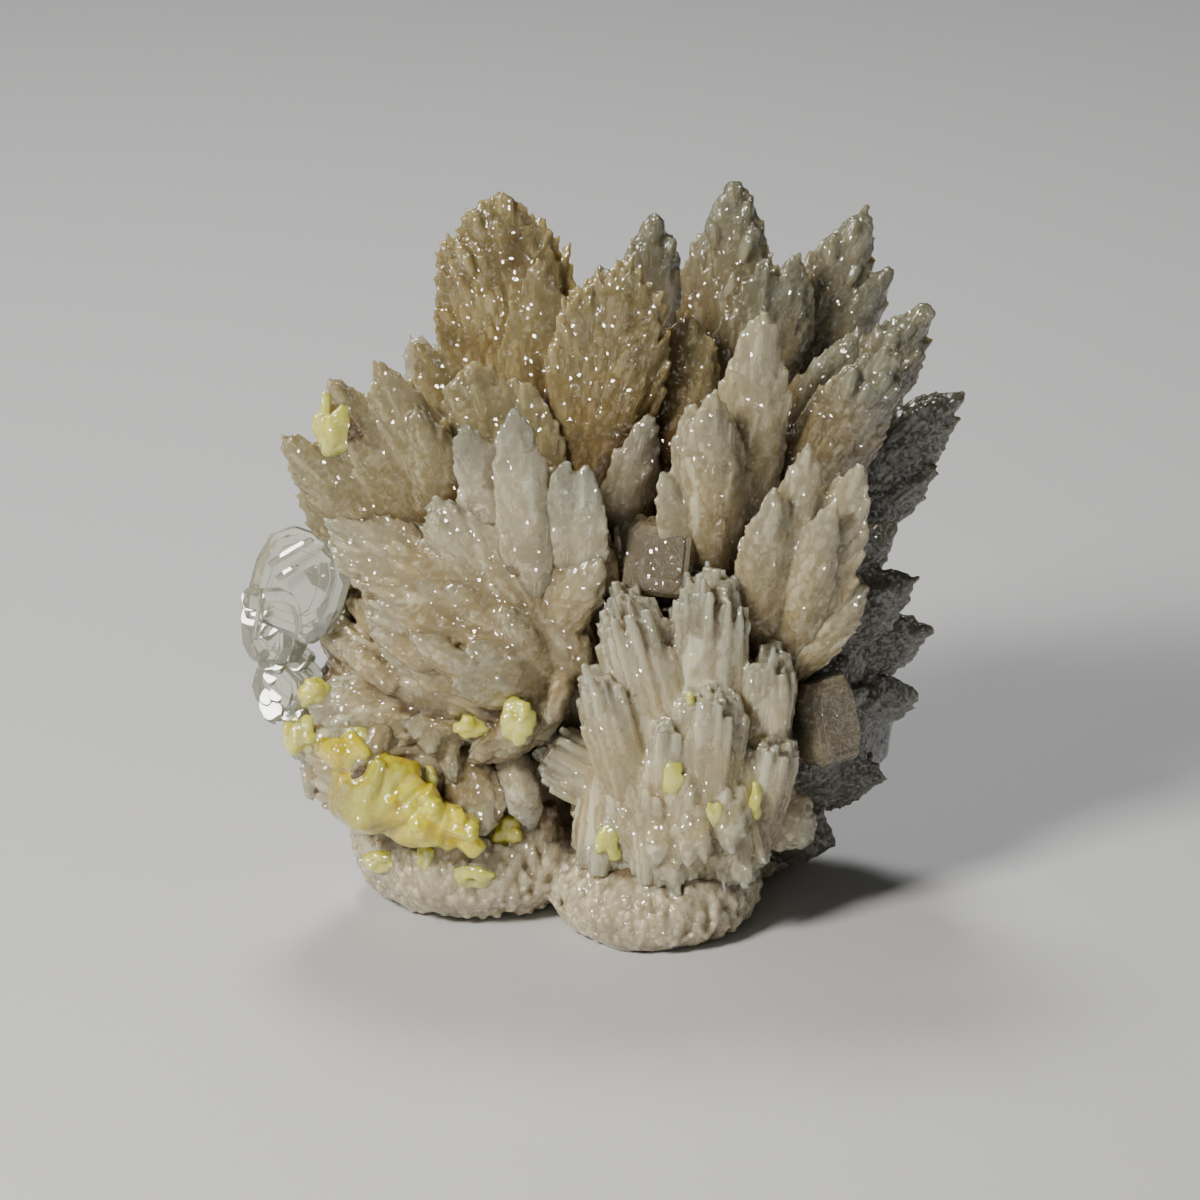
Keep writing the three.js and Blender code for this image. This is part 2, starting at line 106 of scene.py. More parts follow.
LEAF = leaf_outline(0.55, 0.5, 2.6)
FAN = leaf_outline(0.4, 0.68, 2.8)
LATHY = leaf_outline(0.8, 0.5, 3.4)
HABITS = (
    ("lath", ((0, 0.5, 0.6, 0), (0.4, 1, 1, 0), (0.86, 0.9, 0.9, 0), (1, 0.45, 0.4, 0)), FLAT_SECTION),
    ("chisel", ((0, 0.5, 0.6, 0), (0.5, 1, 1, 0), (0.92, 0.9, 0.8, 0), (1, 0.6, 0.4, 0.1)), FLAT_SECTION),
    ("spear", ((0, 0.6, 0.6, 0), (0.35, 1, 1, 0), (0.75, 0.8, 0.8, 0), (1, 0.25, 0.25, -0.08)),
     FLAT_SECTION),
    ("block", ((0, 0.8, 0.8, 0), (0.2, 1, 1, 0), (0.8, 1, 1, 0), (1, 0.74, 0.7, 0)), FLAT_SECTION),
    ("tablet", ((0, 0.86, 0.86, 0), (0.22, 1, 1, 0), (0.78, 1, 1, 0), (1, 0.86, 0.86, 0)), SQUARE_SECTION),
    ("slab", ((0, 0.84, 0.88, 0), (0.2, 1, 1, 0), (0.8, 1, 1, 0), (1, 0.84, 0.88, 0)), SLAB_SECTION),
    ("leaf_heart", heart_rings(LEAF), LENS_SECTION),
    ("fan_heart", heart_rings(FAN), LENS_SECTION),
    ("lathy_heart", heart_rings(LATHY), LENS_SECTION),
)
LATH, CHISEL, SPEAR, BLOCK, TABLET, SLAB, LEAF_HEART, FAN_HEART, LATHY_HEART, MASS = range(10)
HEARTS = {LEAF: LEAF_HEART, FAN: FAN_HEART, LATHY: LATHY_HEART}

habits = bpy.data.collections.new("crystal_habits")
for number, (habit, rings, section) in enumerate(HABITS):
    corners = [(x * wide + lean, y * thick, height)
               for height, wide, thick, lean in rings
               for x, y in section]
    sides = len(section)
    walls = [(ring * sides + c, ring * sides + (c + 1) % sides,
              (ring + 1) * sides + (c + 1) % sides, (ring + 1) * sides + c)
             for ring in range(len(rings) - 1)
             for c in range(sides)]
    ends = [tuple(reversed(range(sides))), tuple(range(len(corners) - sides, len(corners)))]
    habit_mesh = bpy.data.meshes.new(habit)
    habit_mesh.from_pydata(corners, [], walls + ends)
    habits.objects.link(bpy.data.objects.new(f"{number}_{habit}", habit_mesh))
MASS_SWELL = 0.05
bpy.ops.mesh.primitive_ico_sphere_add(subdivisions=3, radius=0.5)
mass_unit = bpy.context.object
mass_unit.name = f"{MASS}_mass"
for corner in mass_unit.data.vertices:
    x, y, z = corner.co
    corner.co *= 1 + MASS_SWELL * (math.sin(x * 11) + math.sin(y * 13 + 2) + math.sin(z * 12 + 4))
for holder in mass_unit.users_collection:
    holder.objects.unlink(mass_unit)
habits.objects.link(mass_unit)


def make_growth_tree():
    """Crystals set on points, joined into one solid where they run into each other."""
    tree = bpy.data.node_groups.new("grown_together", "GeometryNodeTree")
    for name, kind in (
        ("Geometry", "NodeSocketGeometry"),
        ("Habits", "NodeSocketCollection"),
        ("Width", "NodeSocketFloat"),
        ("Thickness", "NodeSocketFloat"),
        ("Crisp", "NodeSocketBool"),
        ("Material", "NodeSocketMaterial"),
    ):
        tree.interface.new_socket(name, in_out="INPUT", socket_type=kind)
    tree.interface.new_socket("Geometry", in_out="OUTPUT", socket_type="NodeSocketGeometry")
    nodes, link = tree.nodes, tree.links.new
    given = nodes.new("NodeGroupInput")
    made = nodes.new("NodeGroupOutput")
    shapes = nodes.new("GeometryNodeCollectionInfo")
    shapes.inputs["Separate Children"].default_value = True
    shapes.inputs["Reset Children"].default_value = True
    link(given.outputs["Habits"], shapes.inputs["Collection"])
    stored = {}
    for name, kind in (("habit", "INT"), ("turn", "QUATERNION"), ("size", "FLOAT_VECTOR")):
        stored[name] = nodes.new("GeometryNodeInputNamedAttribute")
        stored[name].data_type = kind
        stored[name].inputs["Name"].default_value = name
    girth = nodes.new("ShaderNodeCombineXYZ")
    girth.inputs["Z"].default_value = 1
    link(given.outputs["Width"], girth.inputs["X"])
    link(given.outputs["Thickness"], girth.inputs["Y"])
    sized = nodes.new("ShaderNodeVectorMath")
    sized.operation = "MULTIPLY"
    link(stored["size"].outputs["Attribute"], sized.inputs[0])
    link(girth.outputs["Vector"], sized.inputs[1])
    placed = nodes.new("GeometryNodeInstanceOnPoints")
    placed.inputs["Pick Instance"].default_value = True
    link(given.outputs["Geometry"], placed.inputs["Points"])
    link(shapes.outputs["Instances"], placed.inputs["Instance"])
    link(stored["habit"].outputs["Attribute"], placed.inputs["Instance Index"])
    link(stored["turn"].outputs["Attribute"], placed.inputs["Rotation"])
    link(sized.outputs["Vector"], placed.inputs["Scale"])
    union = nodes.new("GeometryNodeMeshBoolean")
    union.operation = "UNION"
    union.solver = "MANIFOLD"
    link(placed.outputs["Instances"], union.inputs["Mesh 2"])
    chosen = nodes.new("GeometryNodeSwitch")
    chosen.input_type = "GEOMETRY"
    link(given.outputs["Crisp"], chosen.inputs["Switch"])
    link(placed.outputs["Instances"], chosen.inputs["False"])
    link(union.outputs["Mesh"], chosen.inputs["True"])
    realized = nodes.new("GeometryNodeRealizeInstances")
    link(chosen.outputs["Output"], realized.inputs["Geometry"])
    painted = nodes.new("GeometryNodeSetMaterial")
    link(realized.outputs["Geometry"], painted.inputs["Geometry"])
    link(given.outputs["Material"], painted.inputs["Material"])
    link(painted.outputs["Geometry"], made.inputs["Geometry"])
    return tree


growth = make_growth_tree()
socket_of = {item.name: item.identifier for item in growth.interface.items_tree if item.in_out == "INPUT"}


def crystals(base, tip, flat, width, thick, habit=LATH, start=0.5, end=1.0):
    """A bundle: where each crystal starts and ends, the way its flat side looks, its girth and habit.
    start and end tell how far along the blade it begins and ends, from 0 at the root to 1."""
    count = len(base)
    return {
        "base": np.asarray(base, float),
        "tip": np.asarray(tip, float),
        "flat": np.asarray(flat, float),
        "width": np.broadcast_to(np.asarray(width, float), count),
        "thick": np.broadcast_to(np.asarray(thick, float), count),
        "habit": np.broadcast_to(np.asarray(habit, int), count),
        "start": np.broadcast_to(np.asarray(start, float), count),
        "end": np.broadcast_to(np.asarray(end, float), count),
    }


def bundle(parts):
    """Several bundles as one."""
    return {key: np.concatenate([part[key] for part in parts]) for key in parts[0]}


# How open a place is to the light: the share of the directions around it that no solid blocks.
LIGHT_REACH = 22
LIGHT_DIRECTIONS = 14
UP_VECTOR = Vector(UP)
cad_corners, cad_faces = [], []
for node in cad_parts.values():
    cad_faces += [[len(cad_corners) + v for v in face.vertices] for face in node.data.polygons]
    cad_corners += [corner.co / MM for corner in node.data.vertices]
solids = BVHTree.FromPolygons(cad_corners, cad_faces)
spiral = np.arange(LIGHT_DIRECTIONS) + 0.5
spiral_height = 1 - 1.2 * spiral / LIGHT_DIRECTIONS
spiral_angle = spiral * math.pi * (3 - math.sqrt(5))
spiral_radius = np.sqrt(1 - spiral_height**2)
dome = np.column_stack(
    [spiral_radius * np.cos(spiral_angle), spiral_radius * np.sin(spiral_angle), spiral_height]
)
light_ways = [Vector(way) for way in dome]


def openness(places, outward):
    """The share of light that reaches each place, where outward is the way it looks."""
    shares = np.empty(len(places))
    for i, (place, look) in enumerate(zip(places, outward)):
        turn = UP_VECTOR.rotation_difference(Vector(look)).to_matrix()
        start = Vector(place)
        lit = sum(solids.ray_cast(start, turn @ way, LIGHT_REACH)[0] is None for way in light_ways)
        shares[i] = lit / LIGHT_DIRECTIONS
    return shares


# How crystals grow together: the grain that melts them into one surface, and how flat a part has to
# be to carry large faces. A crisp edge is sharper than the crease angle.
FULL_WIDTH = 1.0
FULL_THICKNESS = 1.0
CREASE_ANGLE = math.radians(24)
GRAIN_SIZE = 0.29
FLAT_ENOUGH = 0.16
SOFTENING = 1


def grow(name, material, grown, grain_size=GRAIN_SIZE):
    """One solid of all these crystals, with what its material reads stored on its points. They are
    melted together at that grain size, or with none they keep their crisp faces."""
    length = np.linalg.norm(grown["tip"] - grown["base"], axis=1)
    along = unit(grown["tip"] - grown["base"])
    flat = grown["flat"] - along * np.sum(grown["flat"] * along, axis=1, keepdims=True)
    flat = unit(flat)
    aside = np.cross(flat, along)
    axes = np.stack([aside, flat, along], axis=2)
    size = np.column_stack([grown["width"], grown["thick"], length])
    turns = np.array([Matrix(a).to_quaternion()[:] for a in axes])
    points = bpy.data.meshes.new(name + "_points")
    points.vertices.add(len(length))
    points.vertices.foreach_set("co", (grown["base"] * MM).ravel())
    points.attributes.new("turn", "QUATERNION", "POINT").data.foreach_set("value", turns.ravel())
    points.attributes.new("size", "FLOAT_VECTOR", "POINT").data.foreach_set("vector", (size * MM).ravel())
    points.attributes.new("habit", "INT", "POINT").data.foreach_set("value", grown["habit"])
    seed_object = bpy.data.objects.new(name + "_points", points)
    bpy.context.scene.collection.objects.link(seed_object)
    modifier = seed_object.modifiers.new("growth", "NODES")
    modifier.node_group = growth
    modifier[socket_of["Habits"]] = habits
    modifier[socket_of["Width"]] = FULL_WIDTH
    modifier[socket_of["Thickness"]] = FULL_THICKNESS
    modifier[socket_of["Crisp"]] = grain_size is None
    modifier[socket_of["Material"]] = material
    if grain_size:
        melted = seed_object.modifiers.new("melted", "REMESH")
        melted.mode = "VOXEL"
        melted.voxel_size = grain_size * MM
        melted.adaptivity = FLAT_ENOUGH
        softened = seed_object.modifiers.new("softened", "SMOOTH")
        softened.iterations = SOFTENING
    evaluated = seed_object.evaluated_get(bpy.context.evaluated_depsgraph_get())
    mesh = bpy.data.meshes.new_from_object(evaluated)
    bpy.data.objects.remove(seed_object)
    mesh.materials.clear()
    mesh.materials.append(material)
    piece = bpy.data.objects.new(name, mesh)
    bpy.context.scene.collection.objects.link(piece)
    record_growth(mesh, grown["base"], axes, size, grown)
    mesh.shade_smooth()
    if grain_size is None:
        mesh.set_sharp_from_angle(angle=CREASE_ANGLE)
    return piece


# What the points store. Light is sampled at some of them, a little above the surface, and blurred to
# the rest cell by cell. Hearts stay buried, and each crystal's grain starts at a place of its own.
CELL = 5.0
LIGHT_SAMPLES = 900
LIGHT_NEIGHBOURS = 60
LIGHT_BLUR = 1.7
LIGHT_LIFT = 1.3
BURIED = 1000.0
GRAIN_SHIFT = 97


def record_growth(mesh, base, axes, size, grown):
    """Stores on each point its place in its own crystal, its age, tint, light and groove."""
    corners = np.empty(len(mesh.vertices) * 3)
    mesh.vertices.foreach_get("co", corners)
    corners = corners.reshape(-1, 3) / MM
    normals = np.empty(len(mesh.vertices) * 3)
    mesh.vertex_normals.foreach_get("vector", normals)
    normals = normals.reshape(-1, 3)
    owner = np.empty(len(corners), int)
    light = np.empty(len(corners))
    groove = np.zeros(len(corners))
    is_lumpy = bool(np.all(grown["habit"] == MASS))
    buried = np.where(grown["habit"] >= LEAF_HEART, BURIED, 0.0)
    scaled_axes = axes / size[:, None, :]
    crystal_middle = base + axes[:, :, 2] * size[:, 2:] / 2
    crystal_reach = np.linalg.norm(size, axis=1) / 2 + CELL
    sample_count = min(LIGHT_SAMPLES, len(corners))
    samples = np.random.default_rng(3).choice(len(corners), sample_count, replace=False)
    sample_light = openness(corners[samples] + normals[samples] * LIGHT_LIFT, normals[samples])
    cell_of = np.unique(np.floor(corners / CELL), axis=0, return_inverse=True)[1].ravel()
    order = np.argsort(cell_of)
    for members in np.split(order, np.flatnonzero(np.diff(cell_of[order])) + 1):
        chunk = corners[members]
        close = np.flatnonzero(np.linalg.norm(crystal_middle - chunk.mean(axis=0), axis=1) < crystal_reach)
        place = np.einsum("mnj,njk->mnk", chunk[:, None] - base[close], scaled_axes[close])
        across, out, height = place[..., 0], place[..., 1], place[..., 2]
        if is_lumpy:
            reach = across**2 + out**2 + height**2
        else:
            girth = np.minimum(0.6 + 0.9 * height, 0.5 + 2.2 * (1.02 - height)).clip(0.1, 1)
            section = np.maximum(abs(out), abs(across) + 0.46 * abs(out))
            reach = section / girth + 40 * np.maximum(abs(height - 0.5) - 0.5, 0) + buried[close]
            groove[members] = np.clip((reach.min(axis=1) - 0.5) / 0.45, 0, 1)
        owner[members] = close[reach.argmin(axis=1)]
        apart = np.linalg.norm(corners[samples] - chunk.mean(axis=0), axis=1)
        nearby = np.argsort(apart)[:LIGHT_NEIGHBOURS]
        apart = ((chunk[:, None] - corners[samples[nearby]]) ** 2).sum(axis=2)
        near = np.exp(-np.minimum(apart / (2 * LIGHT_BLUR**2), 60))
        near *= (normals[members] @ normals[samples[nearby]].T).clip(0.02, 1)
        light[members] = near @ sample_light[nearby] / near.sum(axis=1)
    place = np.einsum("nj,njk->nk", corners - base[owner], axes[owner])
    height = np.clip(place[:, 2] / size[owner, 2], 0, 1)
    age = grown["start"][owner] * (1 - height) + grown["end"][owner] * height
    tints = np.random.default_rng(len(base)).random(len(base))
    grain = place + tints[owner, None] * GRAIN_SHIFT
    for key, values in (("light", light), ("age", age), ("tint", tints[owner]), ("groove", groove)):
        layer = mesh.attributes.new(key, "FLOAT", "POINT")
        layer.data.foreach_set("value", values.astype(np.float32))
    layer = mesh.attributes.new("grain", "FLOAT_VECTOR", "POINT")
    layer.data.foreach_set("vector", grain.astype(np.float32).ravel())


# Shingled crystals that would start below the table are left out.
TABLE_CLEARANCE = 0.5


def coat(middle, radii, flow, spacing, length, width, thick=0.5, lift=20, seed=1, habit=LATH,
         start=0.3, end=0.7):
    """Crystals lying over a lump like shingles. flow gives the way they point at each place."""
    rng = np.random.default_rng(seed)
    radii = np.asarray(radii, float)
    area = 4 * math.pi * np.mean([radii[0] * radii[1], radii[1] * radii[2], radii[0] * radii[2]])
    count = int(area / spacing**2)
    step = np.arange(count) + 0.5
    height = 1 - 2 * step / count
    angle = step * math.pi * (3 - math.sqrt(5)) + rng.normal(0, 0.25, count)
    ring = np.sqrt(1 - height**2)
    sphere = np.column_stack([ring * np.cos(angle), ring * np.sin(angle), height])
    place = middle + sphere * radii
    outward = unit(sphere / radii)
    way = flow(place) + rng.normal(0, 0.12, (count, 3))
    way = unit(way - outward * np.sum(way * outward, axis=1, keepdims=True))
    rise = np.radians(lift * rng.uniform(0.5, 1.5, (count, 1)))
    way = way * np.cos(rise) + outward * np.sin(rise)
    long = length * rng.uniform(0.7, 1.3, (count, 1))
    tip = place + way * long * 0.45
    base = tip - way * long
    wide = width * rng.uniform(0.7, 1.35, count)
    kept = place[:, 2] > TABLE_CLEARANCE
    kinds = rng.choice(habit, count) if isinstance(habit, tuple) else np.full(count, habit)
    return crystals(base[kept], tip[kept], outward[kept], wide[kept], wide[kept] * thick,
                    kinds[kept], start, end)


def mass(middle, radii, age=0.15):
    """A lump of massive mineral inside the crystals that cover it."""
    middle = np.asarray(middle, float)
    top = middle + UP * radii[2] * 2
    return crystals([middle], [top], [(0, -1, 0)], radii[0] * 2, radii[1] * 2, MASS, age, age)


# What all the barite shares: facets to the metre that sparkle, how far they tilt, how much painted shade
# darkens each groove between crystals and each crystal's root, how brown the stains are, how milky some
# crystals are, and how deep light goes in.
SPARKLES = 2800
SPARKLE_TILT = 1.4
GROOVE_SHADE = 0.75
ROOT_SHADE = 0.4
STAIN_SHADE = 0.5
MILKINESS = 0.6
TINT_SPREAD = 0.32
STREAK_SPREAD = 0.5
DARKEST_SHADE = 0.67
BARITE_IOR = 1.64
GLAZE_IOR = 1.68
GLAZE_ROUGHNESS = 0.09
LIGHT_DEPTH = 3.0
LIGHT_DEPTH_BY_COLOUR = (1.0, 0.78, 0.46)
TRANSLUCENCY = 0.75
RIB_HEIGHT = 0.2


def barite(name, deep, body, fresh, roughness=0.14, clearness=0.4, fresh_from=0.45):
    """Translucent barite with painted shade: brown, its deep colour, where little light comes, paler and
    glassier towards fresh tips.
    """
    material = bpy.data.materials.new(name)
    material.use_nodes = True
    nodes, link = material.node_tree.nodes, material.node_tree.links.new
    shader = nodes["Principled BSDF"]
    read = {}
    for key in ("light", "age", "tint", "grain", "groove"):
        read[key] = nodes.new("ShaderNodeAttribute")
        read[key].attribute_name = key
    place = nodes.new("ShaderNodeTexCoord")

    def noise(vector, scale, detail, squash=(1, 1, 1)):
        node = nodes.new("ShaderNodeTexNoise")
        node.inputs["Scale"].default_value = scale
        node.inputs["Detail"].default_value = detail
        stretched = nodes.new("ShaderNodeMapping")
        stretched.inputs["Scale"].default_value = squash
        link(vector, stretched.inputs["Vector"])
        link(stretched.outputs["Vector"], node.inputs["Vector"])
        return node.outputs["Fac"]

    def spread(value, low, high, out_low=0.0, out_high=1.0):
        node = nodes.new("ShaderNodeMapRange")
        node.interpolation_type = "SMOOTHSTEP"
        ends = (("From Min", low), ("From Max", high), ("To Min", out_low), ("To Max", out_high))
        for key, number in ends:
            node.inputs[key].default_value = number
        link(value, node.inputs["Value"])
        return node.outputs["Result"]

    def blend(amount, first, second):
        node = nodes.new("ShaderNodeMix")
        node.data_type = "RGBA"
        link(amount, node.inputs["Factor"])
        for socket, colour in ((node.inputs[6], first), (node.inputs[7], second)):
            if isinstance(colour, tuple):
                socket.default_value = (*colour, 1)
            else:
                link(colour, socket)
        return node.outputs[2]

    def times(first, second, kind="MULTIPLY"):
        node = nodes.new("ShaderNodeMath")
        node.operation = kind
        for socket, value in ((node.inputs[0], first), (node.inputs[1], second)):
            if isinstance(value, (int, float)):
                socket.default_value = value
            else:
                link(value, socket)
        return node.outputs["Value"]

    # Painted shade: the light stored on the points, with cloudy noise added, takes the colour from the body
    # colour to the deep brown where little light comes.
    clouds = noise(place.outputs["Object"], 90, 2)
    light = times(read["light"].outputs["Fac"], times(clouds, 0.3), "ADD")
    light = spread(light, 0.22, 0.8)
    age = read["age"].outputs["Fac"]
    tints = read["tint"].outputs["Fac"]
    # The paler fresh tips and milky crystals are the barite's own colour, shown only as far as the painted
    # light reaches.
    tips = times(spread(age, fresh_from, 1.05), light)
    milky = times(spread(tints, 0.6, 0.95, 0, MILKINESS), light)
    # Painted shade: the groove between crystals and each crystal's lower end are darkened towards one brown
    # colour, which the real stains also take.
    painted_groove_shade = times(read["groove"].outputs["Fac"], GROOVE_SHADE)
    stains = spread(noise(place.outputs["Object"], 160, 3), 0.5, 0.8, 0, STAIN_SHADE)
    painted_root_shade = spread(age, 0.1, 0.6, ROOT_SHADE, 0)
    stain_and_shade_colour = tuple(0.5 * deep[i] + 0.42 * body[i] for i in range(3))
    # Painted shade: deep brown where the stored light is low.
    colour = blend(light, deep, body)
    colour = blend(tips, colour, fresh)
    colour = blend(milky, colour, fresh)
    colour = blend(painted_groove_shade, colour, stain_and_shade_colour)
    colour = blend(stains, colour, stain_and_shade_colour)
    colour = blend(painted_root_shade, colour, stain_and_shade_colour)
    streaks = noise(read["grain"].outputs["Vector"], 1.6, 3, (1, 1, 0.12))
    shade = times(times(tints, TINT_SPREAD), times(streaks, STREAK_SPREAD), "ADD")
    shade = times(shade, DARKEST_SHADE, "ADD")
    grey = nodes.new("ShaderNodeCombineColor")
    for channel in ("Red", "Green", "Blue"):
        link(shade, grey.inputs[channel])
    whole = nodes.new("ShaderNodeMix")
    whole.data_type = "RGBA"
    whole.blend_type = "MULTIPLY"
    whole.inputs["Factor"].default_value = 1
    link(colour, whole.inputs[6])
    link(grey.outputs["Color"], whole.inputs[7])
    link(whole.outputs[2], shader.inputs["Base Color"])

    ribs = noise(read["grain"].outputs["Vector"], 3.2, 1, (1, 1, 0.06))
    bump = nodes.new("ShaderNodeBump")
    bump.inputs["Strength"].default_value = 0.7
    bump.inputs["Distance"].default_value = RIB_HEIGHT * MM
    link(ribs, bump.inputs["Height"])
    link(bump.outputs["Normal"], shader.inputs["Normal"])
    link(spread(streaks, 0.3, 0.7, roughness * 0.6, roughness * 1.5), shader.inputs["Roughness"])
    facets = nodes.new("ShaderNodeTexVoronoi")
    facets.inputs["Scale"].default_value = SPARKLES
    link(place.outputs["Object"], facets.inputs["Vector"])
    tilt = nodes.new("ShaderNodeVectorMath")
    tilt.operation = "MULTIPLY_ADD"
    tilt.inputs[1].default_value = (SPARKLE_TILT, SPARKLE_TILT, SPARKLE_TILT)
    link(facets.outputs["Color"], tilt.inputs[0])
    surface = nodes.new("ShaderNodeNewGeometry")
    level = nodes.new("ShaderNodeVectorMath")
    level.operation = "SUBTRACT"
    level.inputs[1].default_value = (SPARKLE_TILT / 2, SPARKLE_TILT / 2, SPARKLE_TILT / 2)
    link(surface.outputs["Normal"], level.inputs[0])
    link(level.outputs["Vector"], tilt.inputs[2])
    even = nodes.new("ShaderNodeVectorMath")
    even.operation = "NORMALIZE"
    link(tilt.outputs["Vector"], even.inputs[0])
    link(even.outputs["Vector"], shader.inputs["Coat Normal"])
    shader.inputs["Coat Weight"].default_value = 1.0
    shader.inputs["Coat Roughness"].default_value = GLAZE_ROUGHNESS
    shader.inputs["Coat IOR"].default_value = GLAZE_IOR
    shader.inputs["IOR"].default_value = BARITE_IOR
    shader.inputs["Subsurface Weight"].default_value = TRANSLUCENCY
    shader.inputs["Subsurface Radius"].default_value = LIGHT_DEPTH_BY_COLOUR
    shader.inputs["Subsurface Scale"].default_value = LIGHT_DEPTH * MM
    if clearness:
        link(times(tips, clearness), shader.inputs["Transmission Weight"])
    return material


massive_barite = barite("massive_barite", (0.11, 0.06, 0.02), (0.50, 0.42, 0.25), (0.60, 0.53, 0.36), 0.3, 0)
CORE_LUMPS = (
    ((1, 5, 34), (18, 14, 24)),
    ((7, -6.5, 4), (13.5, 16.5, 8)),
    ((-16, 0, 7), (16, 14.5, 9.5)),
    ((10, 9, 6), (17, 12.5, 10)),
)
GRANULE = 1.1
CORE_GRAIN_SIZE = 0.34


def upward(place):
    """Crystals that point up."""
    return np.broadcast_to(UP, place.shape)


def outward_from(middle, rise=0.0):
    """Crystals that point away from a place, and rise."""
    return lambda place: unit(place - np.asarray(middle, float)) + UP * rise


core = [mass(middle, np.array(radii) * 0.95) for middle, radii in CORE_LUMPS]
core.append(mass(seen(-12, 12, -5), (8, 6, 9), 0.3))
for seed, (middle, radii) in enumerate(CORE_LUMPS[1:]):
    core.append(
        coat(np.array(middle), np.array(radii) - 0.4, outward_from(middle, 1.5), GRANULE * 0.95, 3.4,
             GRANULE, 0.85, 22, seed + 5, (BLOCK, CHISEL, LATH), 0.5, 0.9)
    )
core_piece = grow("core_and_foot_grown", massive_barite, bundle(core), CORE_GRAIN_SIZE)


def level_underside(piece):
    """The broken underside is flat: what would reach below the table ends on it."""
    for corner in piece.data.vertices:
        corner.co.z = max(corner.co.z, 0.0)


def settle(piece, slot, *nodes):
    """The piece stands for these CAD nodes, which it hides. The slot is not used."""
    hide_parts(*nodes)
    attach(piece, "root")


level_underside(core_piece)
settle(core_piece, "barite_massive", "core_and_foot")

# Left mound
# Broad plates of cream barite that lie over each other like shingles and spread up and to the left.
# Two rosettes hang from its lower edge, over the sulfur.
cream_barite = barite("cream_barite", (0.10, 0.05, 0.015), (0.40, 0.315, 0.155), (0.56, 0.52, 0.345))
BLADE_THICKNESS = 0.46
CURVE_STEPS = 120
EDGE_REACH = 0.75
SHARES = (1.0, 0.84, 0.66, 0.48, 0.3, 0.12)


def blade(root, tip, width, thick=None, turn=0, outline=LEAF, seed=1, lath=1.25, long=0.34, relief=0.5,
          beads=0, face=None):
    """The crystals of one blade, in rows like the barbs of a feather. Each row follows the blade's
    outline at a share of its width; the crystals run from the midrib to the row. Beads are the
    rounded, glassy ends at a blade's tip."""
    rng = np.random.default_rng(int(seed * 10) + int(width * 7))
    root, tip = np.asarray(root, float), np.asarray(tip, float)
    run = tip - root
    span = np.linalg.norm(run)
    axis = run / span
    across = unit(np.cross(axis, VIEWER if face is None else face))
    across = np.array(Matrix.Rotation(math.radians(turn), 3, axis) @ Vector(across))
    face = np.cross(across, axis)
    if face @ VIEWER < 0:
        face = -face
    ridge = (thick or width * BLADE_THICKNESS) / 2
    curve = np.linspace(0.1, 1, CURVE_STEPS)
    lobes = 1 + 0.09 * ((curve * rng.uniform(4, 6) + rng.random()) % 1 - 0.5)
    heart = root + run * (span - EDGE_REACH * 1.2) / span
    parts = [crystals([root], [heart], [face], width - EDGE_REACH * 2, ridge * 1.7, HEARTS[outline])]
    for share in SHARES:
        is_edge = share == 1.0
        top = 1 - 0.14 * (1 - share)
        half = outline(curve) * lobes * width / 2 * share
        length_along = np.concatenate([[0], np.cumsum(np.hypot(np.diff(half), np.diff(curve) * top * span))])
        wide = lath * (1.0 if is_edge else 1.05)
        count = max(int(length_along[-1] / (wide * (0.6 if is_edge else 0.95))), 2)
        for hand in (-1, 1):
            for side in ((0,) if is_edge else (-1, 1)):
                at = (np.arange(count) + rng.uniform(0.1, 0.9, count)) / count * length_along[-1]
                level = np.interp(at, length_along, curve)
                out = np.interp(at, length_along, half) * (1 + rng.normal(0, 0.04, count))
                end_along = level * top + rng.normal(0, 0.01, count)
                reach = long * (0.8 + 0.35 * rng.random(count)) * (0.6 + 0.4 * share)
                base_along = np.maximum(end_along - reach, 0)
                base_out = out * rng.uniform(0.25, 0.5, count)
                crown = outline(np.clip(level, 0, 0.93)) * ridge * (1 - share**2) * 0.9
                base_crown = outline(np.clip(base_along, 0, 0.93)) * ridge * (1 - (share * 0.4) ** 2) * 0.8
                end_depth = side * (crown + rng.uniform(0.0, 0.9, count) * relief)
                if is_edge:
                    end_depth = rng.uniform(-0.1, 0.1, count) * ridge
                base_depth = side * base_crown
                end = (root + np.outer(end_along, run) + np.outer(hand * out, across)
                       + np.outer(end_depth, face))
                start = (root + np.outer(base_along, run) + np.outer(hand * base_out, across)
                         + np.outer(base_depth, face))
                tilt = rng.normal(0, 0.16, (count, 1))
                if is_edge:
                    look = face * np.sign(rng.random((count, 1)) - 0.5) + across * tilt
                else:
                    look = face * side + across * (hand * 0.5 * share + tilt)
                girth = wide * rng.uniform(0.65, 1.4, count)
                habit = rng.choice((LATH, SPEAR, CHISEL), count, p=(0.6, 0.1, 0.3))
                parts.append(crystals(start, end, look, girth, girth * (0.7 if is_edge else relief), habit,
                                      base_along, end_along))
    for _ in range(beads):
        level = rng.uniform(0.82, 0.98)
        out = rng.uniform(-0.8, 0.8) * float(outline(level)) * width / 2
        end = root + run * level + across * out + face * rng.uniform(0.1, 0.8) * ridge * (1.1 - level) * 3
        way = unit(axis + across * out / width)
        girth = rng.uniform(1.3, 2.2)
        parts.append(crystals([end - way * girth * 1.6], [end + way * girth * 0.5], [face], girth, girth,
                              LATH, 0.7, 1))
    return bundle(parts)


